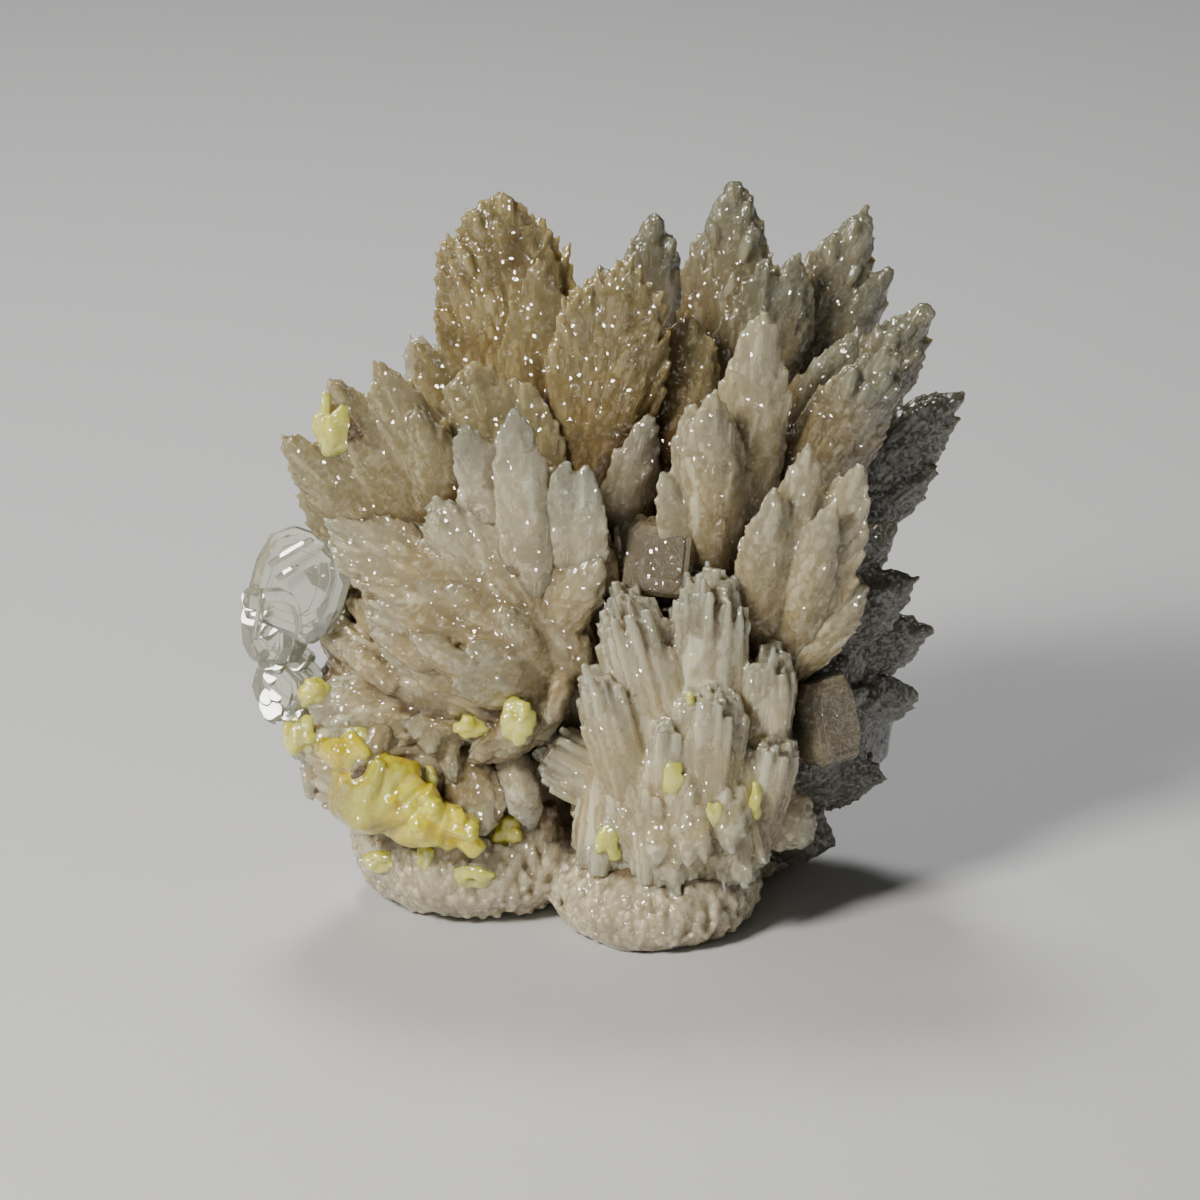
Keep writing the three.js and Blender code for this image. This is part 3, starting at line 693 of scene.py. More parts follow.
def fronds(middle, radii, root, count, length, width, seed, first=0.0):
    """Small blades that lie over a lump on the display side, fanning out from the root. They grow
    where the lump looks at the viewer by at least the first share."""
    rng = np.random.default_rng(seed)
    middle, radii, root = (np.asarray(value, float) for value in (middle, radii, root))
    parts = []
    for i in range(count):
        facing = unit(rng.normal(0, 1, 3))
        while facing @ VIEWER < first:
            facing = unit(rng.normal(0, 1, 3))
        place = middle + facing * radii
        outward = unit(facing / radii)
        way = unit(place - root) + rng.normal(0, 0.12, 3)
        way = unit(way - outward * (way @ outward) * 0.8)
        long = length * rng.uniform(0.75, 1.25)
        wide = width * rng.uniform(0.75, 1.3)
        tip = place + way * long * 0.45 + outward * 0.9
        parts.append(blade(tip - way * long - outward * 1.6, tip, wide, wide * 0.6, rng.uniform(-25, 25),
                           (LATHY, LEAF)[i % 2], seed + i, lath=1.1, long=0.5, relief=0.6, face=outward))
    return bundle(parts)


left_mound = [
    mass(seen(-18.5, 34, -3), (16, 12, 13)),
    mass(seen(-27, 20, -4), (11.2, 11.2, 11.2)),
    blade(seen(-10, 33, -14), seen(-35, 48.4, -9), 12, 4, outline=LATHY, turn=10, seed=1, relief=0.9),
    blade(seen(-2.6, 28.2, -11), seen(-22, 50.6, -11.4), 12, 4, outline=LATHY, turn=-10, seed=2, relief=0.9),
    blade(seen(-5.4, 22.4, -11), seen(-30, 38.6, -13.4), 12, 4, outline=LATHY, turn=6, seed=3, relief=0.9),
    blade(seen(0.4, 38.6, -10), seen(-15, 56, -9), 12, 5, outline=LATHY, seed=4, relief=0.9),
    blade(seen(-8, 32, -11), seen(0.4, 43.6, -13), 7, 3.4, seed=9, relief=0.6),
    blade(seen(-13, 33, -8), seen(-15.4, 18.6, -14), 9, 5, outline=FAN, seed=7, lath=1.4),
    blade(seen(-20, 33, -7.5), seen(-22.6, 17.4, -13.6), 10.4, 5, outline=FAN, seed=5, lath=1.4),
    blade(seen(-27, 31, -6.5), seen(-32.8, 17.8, -10.6), 9.6, 5, outline=FAN, seed=6, lath=1.4),
    fronds(seen(-18.5, 34, -3), (15.6, 14, 14), seen(4, 20, -6), 56, 9.5, 3.2, 100),
    fronds(seen(-12, 28, -5), (11, 12, 9), seen(2, 40, -6), 8, 8, 3.2, 170),
    fronds(seen(-27, 20, -4), (11, 12.4, 11.4), seen(-20, 40, -6), 26, 7, 2.7, 220),
    fronds(seen(-12, 13, -6), (7, 7.4, 8), seen(-12, 38, -6), 14, 6.4, 2.3, 260),
    coat(seen(-18.5, 34, -3), (16, 12, 13), outward_from(seen(4, 24, 0), 0.3), 2.2, 8, 1.9, 0.5, 14, 7),
    coat(seen(-27, 20, -4), (11, 11, 11), outward_from(seen(-10, 24, 0), 0.1), 2.1, 7, 1.8, 0.5, 14, 8),
]
left_mound_piece = grow("left_mound_grown", cream_barite, bundle(left_mound))
settle(left_mound_piece, "barite", "left_mound")

# Right mound
# Upright, column-like crystals in a rounded growth, with chisel ends above and hanging ends below.
# Each clump has a solid heart, and its prisms stand out of it by less than their own width.
COLUMN_GIRTH = 1.45
COLUMN_SPREAD = 0.78
COLUMN_JAG = 0.035


def columns(root, tip, width, thick, seed):
    """A clump of upright prisms with blunt ends at many heights, like a row of organ pipes."""
    rng = np.random.default_rng(seed)
    root, tip = np.asarray(root, float), np.asarray(tip, float)
    run = tip - root
    span = np.linalg.norm(run)
    axis = run / span
    across = unit(np.cross(axis, VIEWER))
    face = -np.cross(axis, across)
    count = int(math.pi / 4 * width * thick / COLUMN_GIRTH**2 * 4.5)
    step = np.arange(count) + 0.5
    radius = np.sqrt(step / count)
    angle = step * math.pi * (3 - math.sqrt(5)) + rng.normal(0, 0.2, count)
    aside = radius * np.cos(angle) * width / 2
    forward = radius * np.sin(angle) * thick / 2
    low = 0.12 * rng.random(count)
    stepped = (forward * (face @ VIEWER) > 0) * rng.random(count) ** 2 * 0.3
    high = 1 - 0.2 * (aside / width * 2) ** 2 - stepped + rng.normal(0, COLUMN_JAG, count)
    base = (root + np.outer(low, run) + np.outer(aside * COLUMN_SPREAD, across)
            + np.outer(forward * COLUMN_SPREAD, face))
    end = root + np.outer(high, run) + np.outer(aside, across) + np.outer(forward, face)
    wide = COLUMN_GIRTH * rng.uniform(0.55, 1.5, count)
    turned = face + across * rng.normal(0, 0.3, (count, 1))
    kinds = rng.choice((BLOCK, CHISEL, LATH), count, p=(0.5, 0.3, 0.2))
    prisms = crystals(base, end, turned, wide, wide * rng.uniform(0.4, 0.7, count), kinds, low, high)
    heart = crystals([root], [root + run * 0.88], [face], width * 0.9, thick * 0.92, BLOCK, 0.2, 0.8)
    return bundle([heart, prisms])


column_barite = barite("column_barite", (0.11, 0.06, 0.02), (0.49, 0.41, 0.225), (0.62, 0.59, 0.43))
right_mound = [
    mass(seen(10.5, 14, -8), (12.8, 11.4, 13.8)),
    columns(seen(13, 14, -12), seen(14, 40.5, -14), 10.4, 7, 11),
    columns(seen(9.7, 14, -13), seen(2.8, 38.6, -15.6), 9.2, 7, 12),
    columns(seen(4.4, 11, -16), seen(-0.6, 28.8, -17.4), 7, 5, 13),
    columns(seen(6, 12, -12), seen(-7.4, 19, -12.6), 8.4, 6, 14),
    columns(seen(13, 10, -17), seen(14.4, 26.6, -18), 9.4, 5.5, 15),
    columns(seen(8, 9, -17), seen(8.6, 22.6, -19), 5, 4, 28),
    columns(seen(20, 13, -11.5), seen(21.8, 31.4, -13.4), 7.4, 6, 16),
    columns(seen(19.6, 6.5, -13), seen(22.4, 21, -15.4), 7.4, 6, 17),
    columns(seen(1.5, 17, -14), seen(0, 2.5, -16), 8, 5, 18),
    columns(seen(7, 17, -16.4), seen(9, 0, -19), 9, 5, 19),
    columns(seen(15, 14, -16), seen(17.5, 1.2, -17), 9, 5, 20),
    blade(seen(20, 13, -12), seen(27.5, 6.5, -12), 8, seed=21),
    fronds(seen(11, 12, -8), (12, 12.4, 12), seen(10, 26, -8), 14, 8, 3, 300, 0.4),
    coat(seen(10.5, 14, -8), (13, 12, 14), upward, 2.0, 8, 1.8, 0.7, 9, 22, (LATH, CHISEL, BLOCK)),
]
right_mound_piece = grow("right_mound_grown", column_barite, bundle(right_mound))
level_underside(right_mound_piece)
settle(right_mound_piece, "barite", "right_mound")

# Right flank
# The shadowed side: grey-green blades that stand out to the right, one under the other, coloured with
# painted shade as a darker copy of the grey barite.
grey_barite = barite(
    "grey_barite", (0.06, 0.035, 0.012), (0.22, 0.165, 0.075), (0.33, 0.325, 0.22), 0.1, 0.5, 0.55
)
# Painted shade: the grey barite made darker for the blades on the shadowed side.
painted_shade_grey_barite = barite(
    "painted_shade_grey_barite", (0.025, 0.019, 0.011), (0.095, 0.084, 0.054), (0.15, 0.15, 0.11), 0.14, 0.3
)
COARSE_GRAIN_SIZE = 0.36
right_flank = [
    mass((20, 8, 25), (17.4, 13.4, 18.4)),
    blade(seen(20, 34, 2), seen(38.4, 48, 0), 9, turn=25, seed=65),
    blade(seen(20, 30, 2), seen(41, 41, -1), 10, turn=15, seed=66),
    blade(seen(18, 27, 5), seen(43.4, 34.6, 3), 12, turn=30, seed=67),
    blade(seen(18, 22, 4), seen(42, 25.6, 3), 12, turn=40, seed=68),
    blade(seen(16, 17, 3), seen(37.4, 14.6, 1), 12, turn=30, seed=69),
    blade(seen(14, 12, 2), seen(31, 6, -1), 11, turn=20, seed=70),
    blade((18, 8, 28), (40, 20, 36), 13, turn=50, seed=81),
    coat(np.array((20, 8, 25)), (17, 13, 18), outward_from((6, 4, 14), 0.2), 2.3, 7, 2.4, 0.4, 16, 9),
]
right_flank_piece = grow("right_flank_grown", painted_shade_grey_barite, bundle(right_flank), COARSE_GRAIN_SIZE)
settle(right_flank_piece, "barite_grey", "right_flank")

# Back mound
# The side that the photo doesn't show, made as the front is: a lump with low blades and shingles.
back_mound = [
    mass((-5, 14, 22), (19.4, 11.4, 16.4)),
    blade((-8, 8, 26), (-33, 24, 30), 15, turn=50, seed=73),
    blade((-8, 8, 20), (-26, 29, 13), 14, turn=40, seed=74),
    blade((-2, 10, 28), (-12, 35, 38), 15, turn=10, seed=77),
    blade((0, 10, 20), (-3, 35, 20), 15, turn=5, seed=78),
    blade((4, 10, 24), (18, 33, 28), 15, turn=-20, seed=82),
    coat(np.array((-5, 14, 22)), (19, 11, 16), outward_from((0, 4, 6), 0.4), 2.4, 8, 2.5, 0.4, 14, 10),
]
back_mound_piece = grow("back_mound_grown", cream_barite, bundle(back_mound), COARSE_GRAIN_SIZE)
settle(back_mound_piece, "barite", "back_mound")

# Tablets
# Thick square plates with bevelled rims: one with a smaller one beside it in the cleft, where short
# crystals stand round its foot, and a grey block on the right. Each is grown in steps.
pale_barite = barite(
    "pale_barite", (0.14, 0.08, 0.03), (0.50, 0.44, 0.27), (0.62, 0.60, 0.46), 0.1, 0.7
)
tablet_barite = barite(
    "tablet_barite", (0.12, 0.08, 0.035), (0.36, 0.30, 0.19), (0.46, 0.42, 0.31), 0.1, 0.4
)


def plate(middle, facing, wide, high, thick, spin=0.0, steps=3, seed=1, habit=TABLET):
    """A tablet in growth steps: each step is a little smaller and stands a little prouder."""
    rng = np.random.default_rng(seed)
    facing = unit(np.asarray(facing, float))
    aside = unit(np.cross(UP, facing))
    over = np.cross(facing, aside)
    spin = math.radians(spin)
    up = over * math.cos(spin) + aside * math.sin(spin)
    side = aside * math.cos(spin) - over * math.sin(spin)
    parts = []
    for step in range(steps):
        share = 1 - 0.17 * step
        shift = side * rng.normal(0, 0.03) * wide + up * rng.normal(0, 0.03) * high
        deep = facing * thick * (0.5 + 0.035 * step)
        parts.append(crystals([middle + shift - deep], [middle + shift + deep], [up], wide * share,
                              high * share, habit, 0.5, 0.9))
    return bundle(parts)


cleft = [
    plate(seen(7.4, 43.2, -9), (0.1, -1, 0.35), 8.8, 9.4, 4.6, 8, 3, 2, SLAB),
    plate(seen(3.9, 42, -7), (-0.4, -1, 0.3), 6.4, 7.4, 5, -6, 3, 3, SLAB),
    coat(seen(6.4, 42, -6.4), (6.6, 3.6, 5.6), upward, 1.7, 4.5, 1.5, 0.5, 20, 31, (LATH, CHISEL)),
]
settle(grow("cleft_tablet_grown", tablet_barite, bundle(cleft), None), "barite_pale", "cleft_tablet")
right_block = [
    plate(seen(29, 22.6, -7.5), (0.5, -1, 0.25), 7, 11, 7, -6, 2, 4, SLAB),
]
settle(grow("right_block_grown", tablet_barite, bundle(right_block), None), "barite_grey", "right_block")

# Clear plates
# Water-clear tablets at the left edge. They are see-through, with a faint grey-green tint in depth,
# and their many rims and steps throw white reflections.
CLEAR_PLATES = (
    ((-38.4, 40, -8), (-0.45, -1, 0.35), 12.6, 13.6, 3.6, 10, 3),
    ((-41.8, 34.4, -6.4), (-0.9, -1, 0.2), 8.6, 9.6, 4.6, -14, 3),
    ((-40.2, 27.4, -5.4), (-0.8, -1, -0.1), 8.4, 8.2, 5, 20, 3),
)
RIM_COUNT = 34
clear_barite = bpy.data.materials.new("clear_barite")
clear_barite.use_nodes = True
clear_shader = clear_barite.node_tree.nodes["Principled BSDF"]
clear_shader.inputs["Base Color"].default_value = (0.88, 0.88, 0.78, 1)
clear_shader.inputs["Transmission Weight"].default_value = 0.84
clear_shader.inputs["Roughness"].default_value = 0.04
clear_shader.inputs["IOR"].default_value = 1.64
tint = clear_barite.node_tree.nodes.new("ShaderNodeVolumeAbsorption")
tint.inputs["Color"].default_value = (0.72, 0.74, 0.6, 1)
tint.inputs["Density"].default_value = 60
clear_barite.node_tree.links.new(
    tint.outputs["Volume"], clear_barite.node_tree.nodes["Material Output"].inputs["Volume"]
)
facet_noise = clear_barite.node_tree.nodes.new("ShaderNodeTexVoronoi")
facet_noise.inputs["Scale"].default_value = 420
facet_bump = clear_barite.node_tree.nodes.new("ShaderNodeBump")
facet_bump.inputs["Strength"].default_value = 0.2
facet_bump.inputs["Distance"].default_value = 0.15 * MM
clear_place = clear_barite.node_tree.nodes.new("ShaderNodeTexCoord")
clear_barite.node_tree.links.new(clear_place.outputs["Object"], facet_noise.inputs["Vector"])
clear_barite.node_tree.links.new(facet_noise.outputs["Distance"], facet_bump.inputs["Height"])
clear_barite.node_tree.links.new(facet_bump.outputs["Normal"], clear_shader.inputs["Normal"])
GLINT = np.array((-0.281, -0.807, 0.519))
rim_random = np.random.default_rng(12)
clear = [plate(seen(*place), facing, wide, high, thick, spin, steps, i)
         for i, (place, facing, wide, high, thick, spin, steps) in enumerate(CLEAR_PLATES)]
for i in range(RIM_COUNT):
    place, facing, wide, high, thick, spin, _ = CLEAR_PLATES[1 + i % 2]
    aside = rim_random.uniform(-0.42, 0.3) * wide
    above = rim_random.uniform(-0.46, 0.46) * high
    small = rim_random.uniform(1.6, 3.2)
    facing = GLINT + rim_random.normal(0, 0.05, 3)
    middle = seen(place[0] + aside * 0.8, place[1] + above, place[2] - thick * 0.42 + abs(aside) * 0.2)
    clear.append(plate(middle, facing, small, small * 1.2, small * 0.8, rim_random.uniform(-40, 40), 1, i))
for start, end in (((-42, 42.4), (-36.6, 45.6)), ((-41, 40.6), (-38.4, 42.2)), ((-44, 33), (-43, 38))):
    clear.append(crystals([seen(*start, -11)], [seen(*end, -11)], [GLINT], 0.9, 1.6, BLOCK))
settle(grow("clear_plates_grown", clear_barite, bundle(clear), None), "barite_clear", "clear_plates")

# Standing blades
# Leaf-like blades, each grown from the core. Cream at the left, honey brown in the middle, grey-green
# at the top and right, where they are thin and glassy.
amber_barite = barite(
    "amber_barite", (0.09, 0.04, 0.008), (0.25, 0.175, 0.055), (0.33, 0.275, 0.125), 0.12, 0.3
)
honey_barite = barite(
    "honey_barite", (0.10, 0.05, 0.012), (0.29, 0.22, 0.09), (0.38, 0.33, 0.17), 0.12, 0.3
)

STANDING = {
    "left_blade_with_sulfur_tip": (honey_barite, "barite", (
        blade(seen(-15, 35, -4), seen(-34.4, 66, -8), 12, seed=20),
        blade(seen(-14, 36, -4), seen(-28.4, 68.4, -8), 10, seed=21),
        blade(seen(-15, 34, -5), seen(-40.6, 59, -9), 10, turn=-8, seed=22),
        blade(seen(-15, 34, -5), seen(-38.6, 51.6, -8), 9, turn=-8, seed=83),
        blade(seen(-13, 36, -5), seen(-23.6, 62.6, -9), 8, turn=12, seed=84),
    )),
    "pale_blade_left": (pale_barite, "barite_pale", (
        blade(seen(-9, 40, -8), seen(-17.7, 60.2, -13), 7.4, seed=23, lath=1.6, relief=0.3),
    )),
    "pale_blade_upright": (pale_barite, "barite_pale", (
        blade(seen(-8.6, 38, -12), seen(-10.9, 62.2, -16), 6, outline=LATHY, seed=24, lath=1.6, relief=0.3),
    )),
    "pale_blade_right": (pale_barite, "barite_pale", (
        blade(seen(-4.6, 36, -9), seen(-4.5, 55.6, -15), 6, turn=10, seed=25, lath=1.6, relief=0.3),
        blade(seen(-3.6, 36, -9), seen(-1.9, 55.2, -14.6), 7, turn=-14, seed=28, lath=1.6, relief=0.3),
    )),
    "lower_left_blade": (cream_barite, "barite", (
        blade(seen(-18, 24, -12), seen(-38, 24.8, -12), 10, 5, turn=10, seed=27),
    )),
    "hanging_blade": (cream_barite, "barite", (
        blade(seen(-19, 19, -10), seen(-14.4, 7.6, -15), 8, seed=29),
    )),
    "finger_crystal": (pale_barite, "barite_pale", (
        blade(seen(-11.6, 19, -11), seen(-8.6, 8.4, -14.4), 4.4, 4, 0, LATHY, 30, 1.1, 0.8, 0.3),
    )),
    "centre_spray": (cream_barite, "barite_pale", (
        blade(seen(16, 38, -2), seen(20.8, 74.4, -8), 9.8, seed=31, lath=1.7),
        blade(seen(14.6, 38, -5), seen(14.2, 64.6, -12), 8.6, turn=15, seed=33, lath=1.7),
        blade(seen(14.4, 38, -4), seen(11, 62.6, -10.4), 7.6, turn=25, seed=34, lath=1.6),
        blade(seen(14, 38, -4), seen(7.8, 54, -11), 7, turn=30, seed=35, lath=1.5),
    )),
    "lower_right_spray": (cream_barite, "barite_pale", (
        blade(seen(19.5, 27, -6), seen(22.2, 52.2, -14.6), 7.6, turn=20, seed=36, lath=1.6),
        blade(seen(22, 27, -5), seen(26.4, 57.8, -13), 7.6, seed=37, lath=1.6),
        blade(seen(23, 27, -4), seen(33.4, 55.6, -13), 8.4, turn=-20, seed=38, lath=1.7),
        blade(seen(22, 27, -5), seen(29.6, 50.4, -15), 6.4, turn=-10, seed=39, lath=1.5),
    )),
    "low_lath_right": (cream_barite, "barite", (
        blade(seen(22, 27, -6), seen(34.2, 40, -10), 6, seed=41),
    )),
    "small_blade_centre": (tablet_barite, "barite_pale", (
        blade(seen(0.5, 40, -2), seen(6.4, 61.8, -5), 6.6, turn=20, seed=42, lath=1.7, relief=0.3),
    )),
    "left_shoulder_blade": (honey_barite, "barite", (
        blade(seen(-9, 42, -2), seen(-16.6, 68.2, -4), 12, outline=FAN, seed=43, lath=1.5, relief=0.32),
        blade(seen(-7, 42, -2), seen(-9.6, 66, -4), 9, turn=-20, seed=44),
    )),
    "amber_blade": (amber_barite, "barite_amber", (
        blade(seen(-4, 44, -1), seen(3.6, 81.2, -2), 15, outline=FAN, seed=45, lath=1.4, relief=0.32),
        blade(seen(-3, 44, -1), seen(-1.6, 78, -3), 9, outline=FAN, turn=20, seed=46),
    )),
    "upper_left_inner_blade": (amber_barite, "barite", (
        blade(seen(-8.5, 46, 3), seen(-7.7, 81.8, 5), 10, seed=48),
        blade(seen(-7, 46, 3), seen(-3.4, 77.4, 5), 7, turn=-30, seed=49),
    )),
    "upper_left_blade": (amber_barite, "barite", (
        blade(seen(-9, 47, 8), seen(-13.4, 90.4, 13), 18, outline=FAN, seed=47, lath=1.4, relief=0.32,
              beads=10),
        blade(seen(-9, 47, 7), seen(-24, 71.4, 9), 9, turn=15, seed=51),
        blade(seen(-9, 47, 8), seen(-20.4, 81, 12), 9, turn=20, seed=50),
    )),
    "brown_blade": (amber_barite, "barite_amber", (
        blade(seen(9, 44, 2), seen(11.6, 75, 2), 10, outline=LATHY, seed=52),
        blade(seen(8, 44, 2), seen(6.6, 72, 2), 7, outline=LATHY, seed=26),
    )),
    "back_top_blade": (grey_barite, "barite_grey", (
        blade(seen(6, 50, 9), seen(6.8, 87.8, 18), 11, turn=20, outline=LATHY, seed=53, beads=16),
        blade(seen(5, 50, 9), seen(0, 81.4, 16), 9, turn=10, outline=LATHY, seed=54),
    )),
    "summit_blade": (grey_barite, "barite_grey", (
        blade(seen(14, 48, 7), seen(17.8, 92, 16), 12.4, turn=-8, outline=LATHY, seed=55, beads=24),
        blade(seen(14, 48, 6), seen(21.6, 81.6, 9), 10, turn=12, seed=56),
        blade(seen(15, 48, 6), seen(25.4, 82.4, 11), 9.6, turn=12, outline=FAN, seed=57),
    )),
    "upper_right_blade": (grey_barite, "barite_grey", (
        blade(seen(16, 47, 10), seen(34.4, 88.2, 18), 12, turn=20, outline=LATHY, seed=58, beads=24),
        blade(seen(17, 46, 10), seen(37.6, 81.4, 17), 8, turn=35, outline=LATHY, seed=59, beads=8),
    )),
    "right_inner_blade": (grey_barite, "barite_amber", (
        blade(seen(18, 44, 2), seen(33, 72.6, 2), 9, turn=-15, seed=60),
    )),
    "right_striated_blade": (grey_barite, "barite", (
        blade(seen(19, 42, -1), seen(37.6, 70.2, -4), 11, outline=LATHY, turn=15, seed=61, beads=16),
    )),
    "right_back_blade": (grey_barite, "barite_grey", (
        blade(seen(18, 44, 8), seen(42.6, 76.2, 12), 11, turn=25, outline=LATHY, seed=62, beads=20),
    )),
    # Painted shade: this blade takes the darker copy of the grey barite.
    "right_edge_blade": (painted_shade_grey_barite, "barite_grey", (
        blade(seen(19, 42, 5), seen(46.6, 64.4, 6), 11, turn=20, outline=LATHY, seed=63, beads=20),
        blade(seen(19, 40, 5), seen(43.6, 55, 5), 9, turn=30, seed=64),
    )),
    "back_left_blade": (cream_barite, "barite", (
        blade((-5, 10, 34), (-25, 26, 68), 15, turn=-20, seed=71),
        blade((-5, 10, 34), (-33, 22, 50), 14, turn=-30, seed=72),
    )),
    "back_middle_blade": (cream_barite, "barite", (
        blade((0, 10, 36), (-8, 31, 74), 15, turn=5, seed=75),
    )),
    "back_middle_low_blade": (cream_barite, "barite", (
        blade((1, 12, 36), (2, 34, 58), 15, turn=-8, seed=76),
    )),
    "back_right_blade": (cream_barite, "barite", (
        blade((10, 10, 36), (22, 30, 72), 14, turn=20, seed=79),
        blade((10, 10, 36), (34, 26, 54), 14, turn=30, seed=80),
    )),
}
for node, (material, slot, blades) in STANDING.items():
    grain_size = COARSE_GRAIN_SIZE if node.startswith("back_") else GRAIN_SIZE
    settle(grow(node + "_grown", material, bundle(blades), grain_size), slot, node)

# Sulfur mass
# A glassy lump of native sulfur in the lower left, deep yellow, with pale ridges that run down it and
# a rounded band that reaches up to the left.
SULFUR_IOR = 2.0


def sulfur(name, deep, body, fresh, roughness, clearness):
    """Waxy, translucent yellow, with painted shade that makes it deeper in its hollows, and paler where it is
    fresh.
    """
    material = barite(name, deep, body, fresh, roughness, clearness)
    shader = material.node_tree.nodes["Principled BSDF"]
    shader.inputs["IOR"].default_value = SULFUR_IOR
    shader.inputs["Subsurface Radius"].default_value = (1.0, 0.9, 0.2)
    material.node_tree.nodes["Bump"].inputs["Strength"].default_value = 0.2
    return material


SULFUR_GRAIN_SIZE = 0.2
MASS_CRYSTALS = 30
BAND_LUMPS = 7
glassy_sulfur = sulfur(
    "glassy_sulfur", (0.44, 0.30, 0.0), (0.76, 0.61, 0.006), (0.86, 0.77, 0.05), 0.08, 0.35
)
pale_sulfur = sulfur(
    "pale_sulfur", (0.62, 0.56, 0.06), (0.72, 0.67, 0.08), (0.78, 0.75, 0.2), 0.16, 0.2
)
mass_random = np.random.default_rng(41)
sulfur_parts = [
    mass(seen(-28.6, 13, -14), (6.6, 4.6, 5.6), 0.5),
    mass(seen(-22.5, 9.6, -13), (6.2, 4.6, 3.6), 0.5),
    crystals([seen(-28, 17.6, -18)], [seen(-31.4, 8.4, -17.6)], [(-0.6, -1, 0.3)], 2.8, 2, SPEAR, 1.3, 1.3),
    crystals([seen(-25.6, 17, -17.4)], [seen(-29, 10, -17.8)], [(-0.2, -1, 0.4)], 2.2, 1.6, LATH, 1.1, 1.1),
]
for i in range(MASS_CRYSTALS):
    along = mass_random.uniform(0.12, 1)
    middle = seen(-32 + 14 * along, 16.5 - 8 * along, -16.4) + mass_random.normal(0, (1.5, 0.5, 1.5))
    way = unit(np.array((0.75, -0.2, -0.6)) + mass_random.normal(0, 0.6, 3))
    long = mass_random.uniform(2.4, 5)
    wide = mass_random.uniform(2.2, 4.2)
    sulfur_parts.append(
        crystals([middle - way * long / 2], [middle + way * long / 2],
                 [VIEWER + mass_random.normal(0, 0.6, 3)], wide, wide * 0.6, (BLOCK, TABLET)[i % 2], 0.4, 0.8)
    )
for i in range(BAND_LUMPS):
    middle = seen(-34.6 + 1.5 * i, 18.6 - 0.4 * i, -14.2 - 0.3 * i) + mass_random.normal(0, 0.3, 3)
    sulfur_parts.append(mass(middle, mass_random.uniform(1.5, 2.3, 3), mass_random.uniform(0.4, 0.9)))
sulfur_mass_piece = grow("sulfur_mass_grown", glassy_sulfur, bundle(sulfur_parts), SULFUR_GRAIN_SIZE)
settle(sulfur_mass_piece, "sulfur", "sulfur_mass")

# Sulfur crusts and drops
# Pale yellow, lumpy coatings and drops, each a cluster of rounded knobs that sits on the barite.
KNOBS = 24
KNOB_GRAIN_SIZE = 0.24
SIGHT_START = 40
LONGEST_SHIFT = 4.0
surfaces = [BVHTree.FromObject(piece, bpy.context.evaluated_depsgraph_get())
            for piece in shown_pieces() if not piece.name.startswith("sulfur")]
for number, node in enumerate(sorted(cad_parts)):
    if not node.startswith("sulfur_") or node == "sulfur_mass":
        continue
    low, high = (np.array(corner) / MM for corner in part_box(node))
    knob_random = np.random.default_rng(number)
    middle, half = (low + high) / 2, (high - low) / 2 * (1.3, 1, 1.25)
    start = Vector((middle + VIEWER * SIGHT_START) * MM)
    hits = [surface.ray_cast(start, -Vector(VIEWER))[3] for surface in surfaces]
    nearest = min((hit for hit in hits if hit is not None), default=SIGHT_START * MM) / MM
    shift = np.clip(SIGHT_START - nearest, -LONGEST_SHIFT, LONGEST_SHIFT)
    middle = middle + VIEWER * (shift + half[1] * 0.2)
    knobs = []
    for _ in range(KNOBS):
        way = unit(knob_random.normal(0, 1, 3)) * knob_random.uniform(0.5, 1) ** 0.5
        size = half * knob_random.uniform(0.2, 0.42, 3)
        knobs.append(mass(middle + way * (half - size), size, knob_random.uniform(0.3, 1)))
    settle(grow(node + "_grown", pale_sulfur, bundle(knobs), KNOB_GRAIN_SIZE), "sulfur", node)

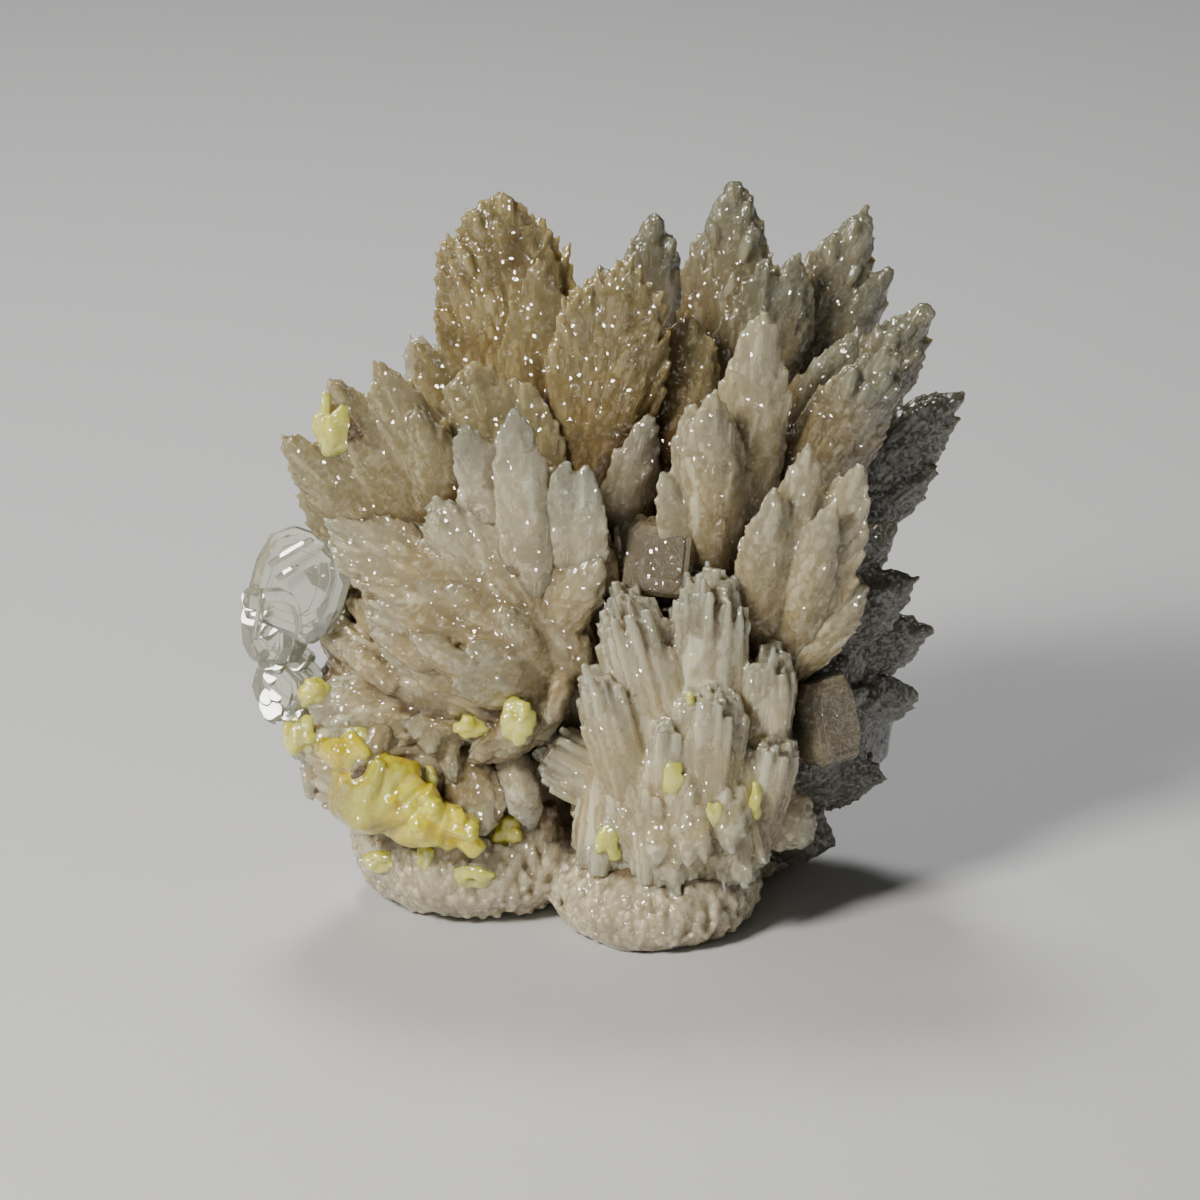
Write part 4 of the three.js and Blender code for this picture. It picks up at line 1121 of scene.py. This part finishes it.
# Floor, light and camera
# A plain pale floor under a soft studio light from the upper left, and the camera at the photo's angle.
FLOOR_SIZE = 6.0
CAMERA_DISTANCE = 0.946
FRAME_WIDTH = 0.1548
FRAME_MIDDLE = 37.9

bpy.ops.mesh.primitive_plane_add(size=FLOOR_SIZE)
floor = bpy.context.object
floor.name = "floor"
paper = bpy.data.materials.new("pale_floor")
paper.use_nodes = True
paper.node_tree.nodes["Principled BSDF"].inputs["Base Color"].default_value = (0.62, 0.62, 0.62, 1)
paper.node_tree.nodes["Principled BSDF"].inputs["Roughness"].default_value = 0.6
floor.data.materials.append(paper)


def area_light(name, place, target, size, power, colour=(1, 1, 1)):
    """A soft box that looks at the target."""
    lamp = bpy.data.lights.new(name, "AREA")
    lamp.size = size
    lamp.energy = power
    lamp.color = colour
    holder = bpy.data.objects.new(name, lamp)
    holder.location = place
    holder.rotation_euler = (Vector(target) - Vector(place)).to_track_quat("-Z", "Y").to_euler()
    bpy.context.scene.collection.objects.link(holder)


MIDDLE = (0, 0, 0.045)
area_light("key", (-0.42, -0.42, 0.5), MIDDLE, size=0.18, power=7.5, colour=(1, 0.97, 0.92))
area_light("fill", (-0.25, -0.85, 0.2), MIDDLE, size=0.5, power=0.8, colour=(0.96, 0.98, 1))
area_light("top", (-0.1, 0.3, 0.55), MIDDLE, size=0.16, power=2.2)
world = bpy.data.worlds.new("studio")
world.use_nodes = True
world.node_tree.nodes["Background"].inputs["Color"].default_value = (0.5, 0.5, 0.52, 1)
world.node_tree.nodes["Background"].inputs["Strength"].default_value = 0.08
bpy.context.scene.world = world

SENSOR_WIDTH = 36
lens = bpy.data.cameras.new("camera")
lens.sensor_width = SENSOR_WIDTH
lens.lens = SENSOR_WIDTH * CAMERA_DISTANCE / FRAME_WIDTH
camera = bpy.data.objects.new("camera", lens)
target = Vector(seen(0, FRAME_MIDDLE, 0) * MM)
camera.location = target + Vector(VIEWER) * CAMERA_DISTANCE
camera.rotation_euler = (-Vector(VIEWER)).to_track_quat("-Z", "Y").to_euler()
bpy.context.scene.collection.objects.link(camera)
bpy.context.scene.camera = camera
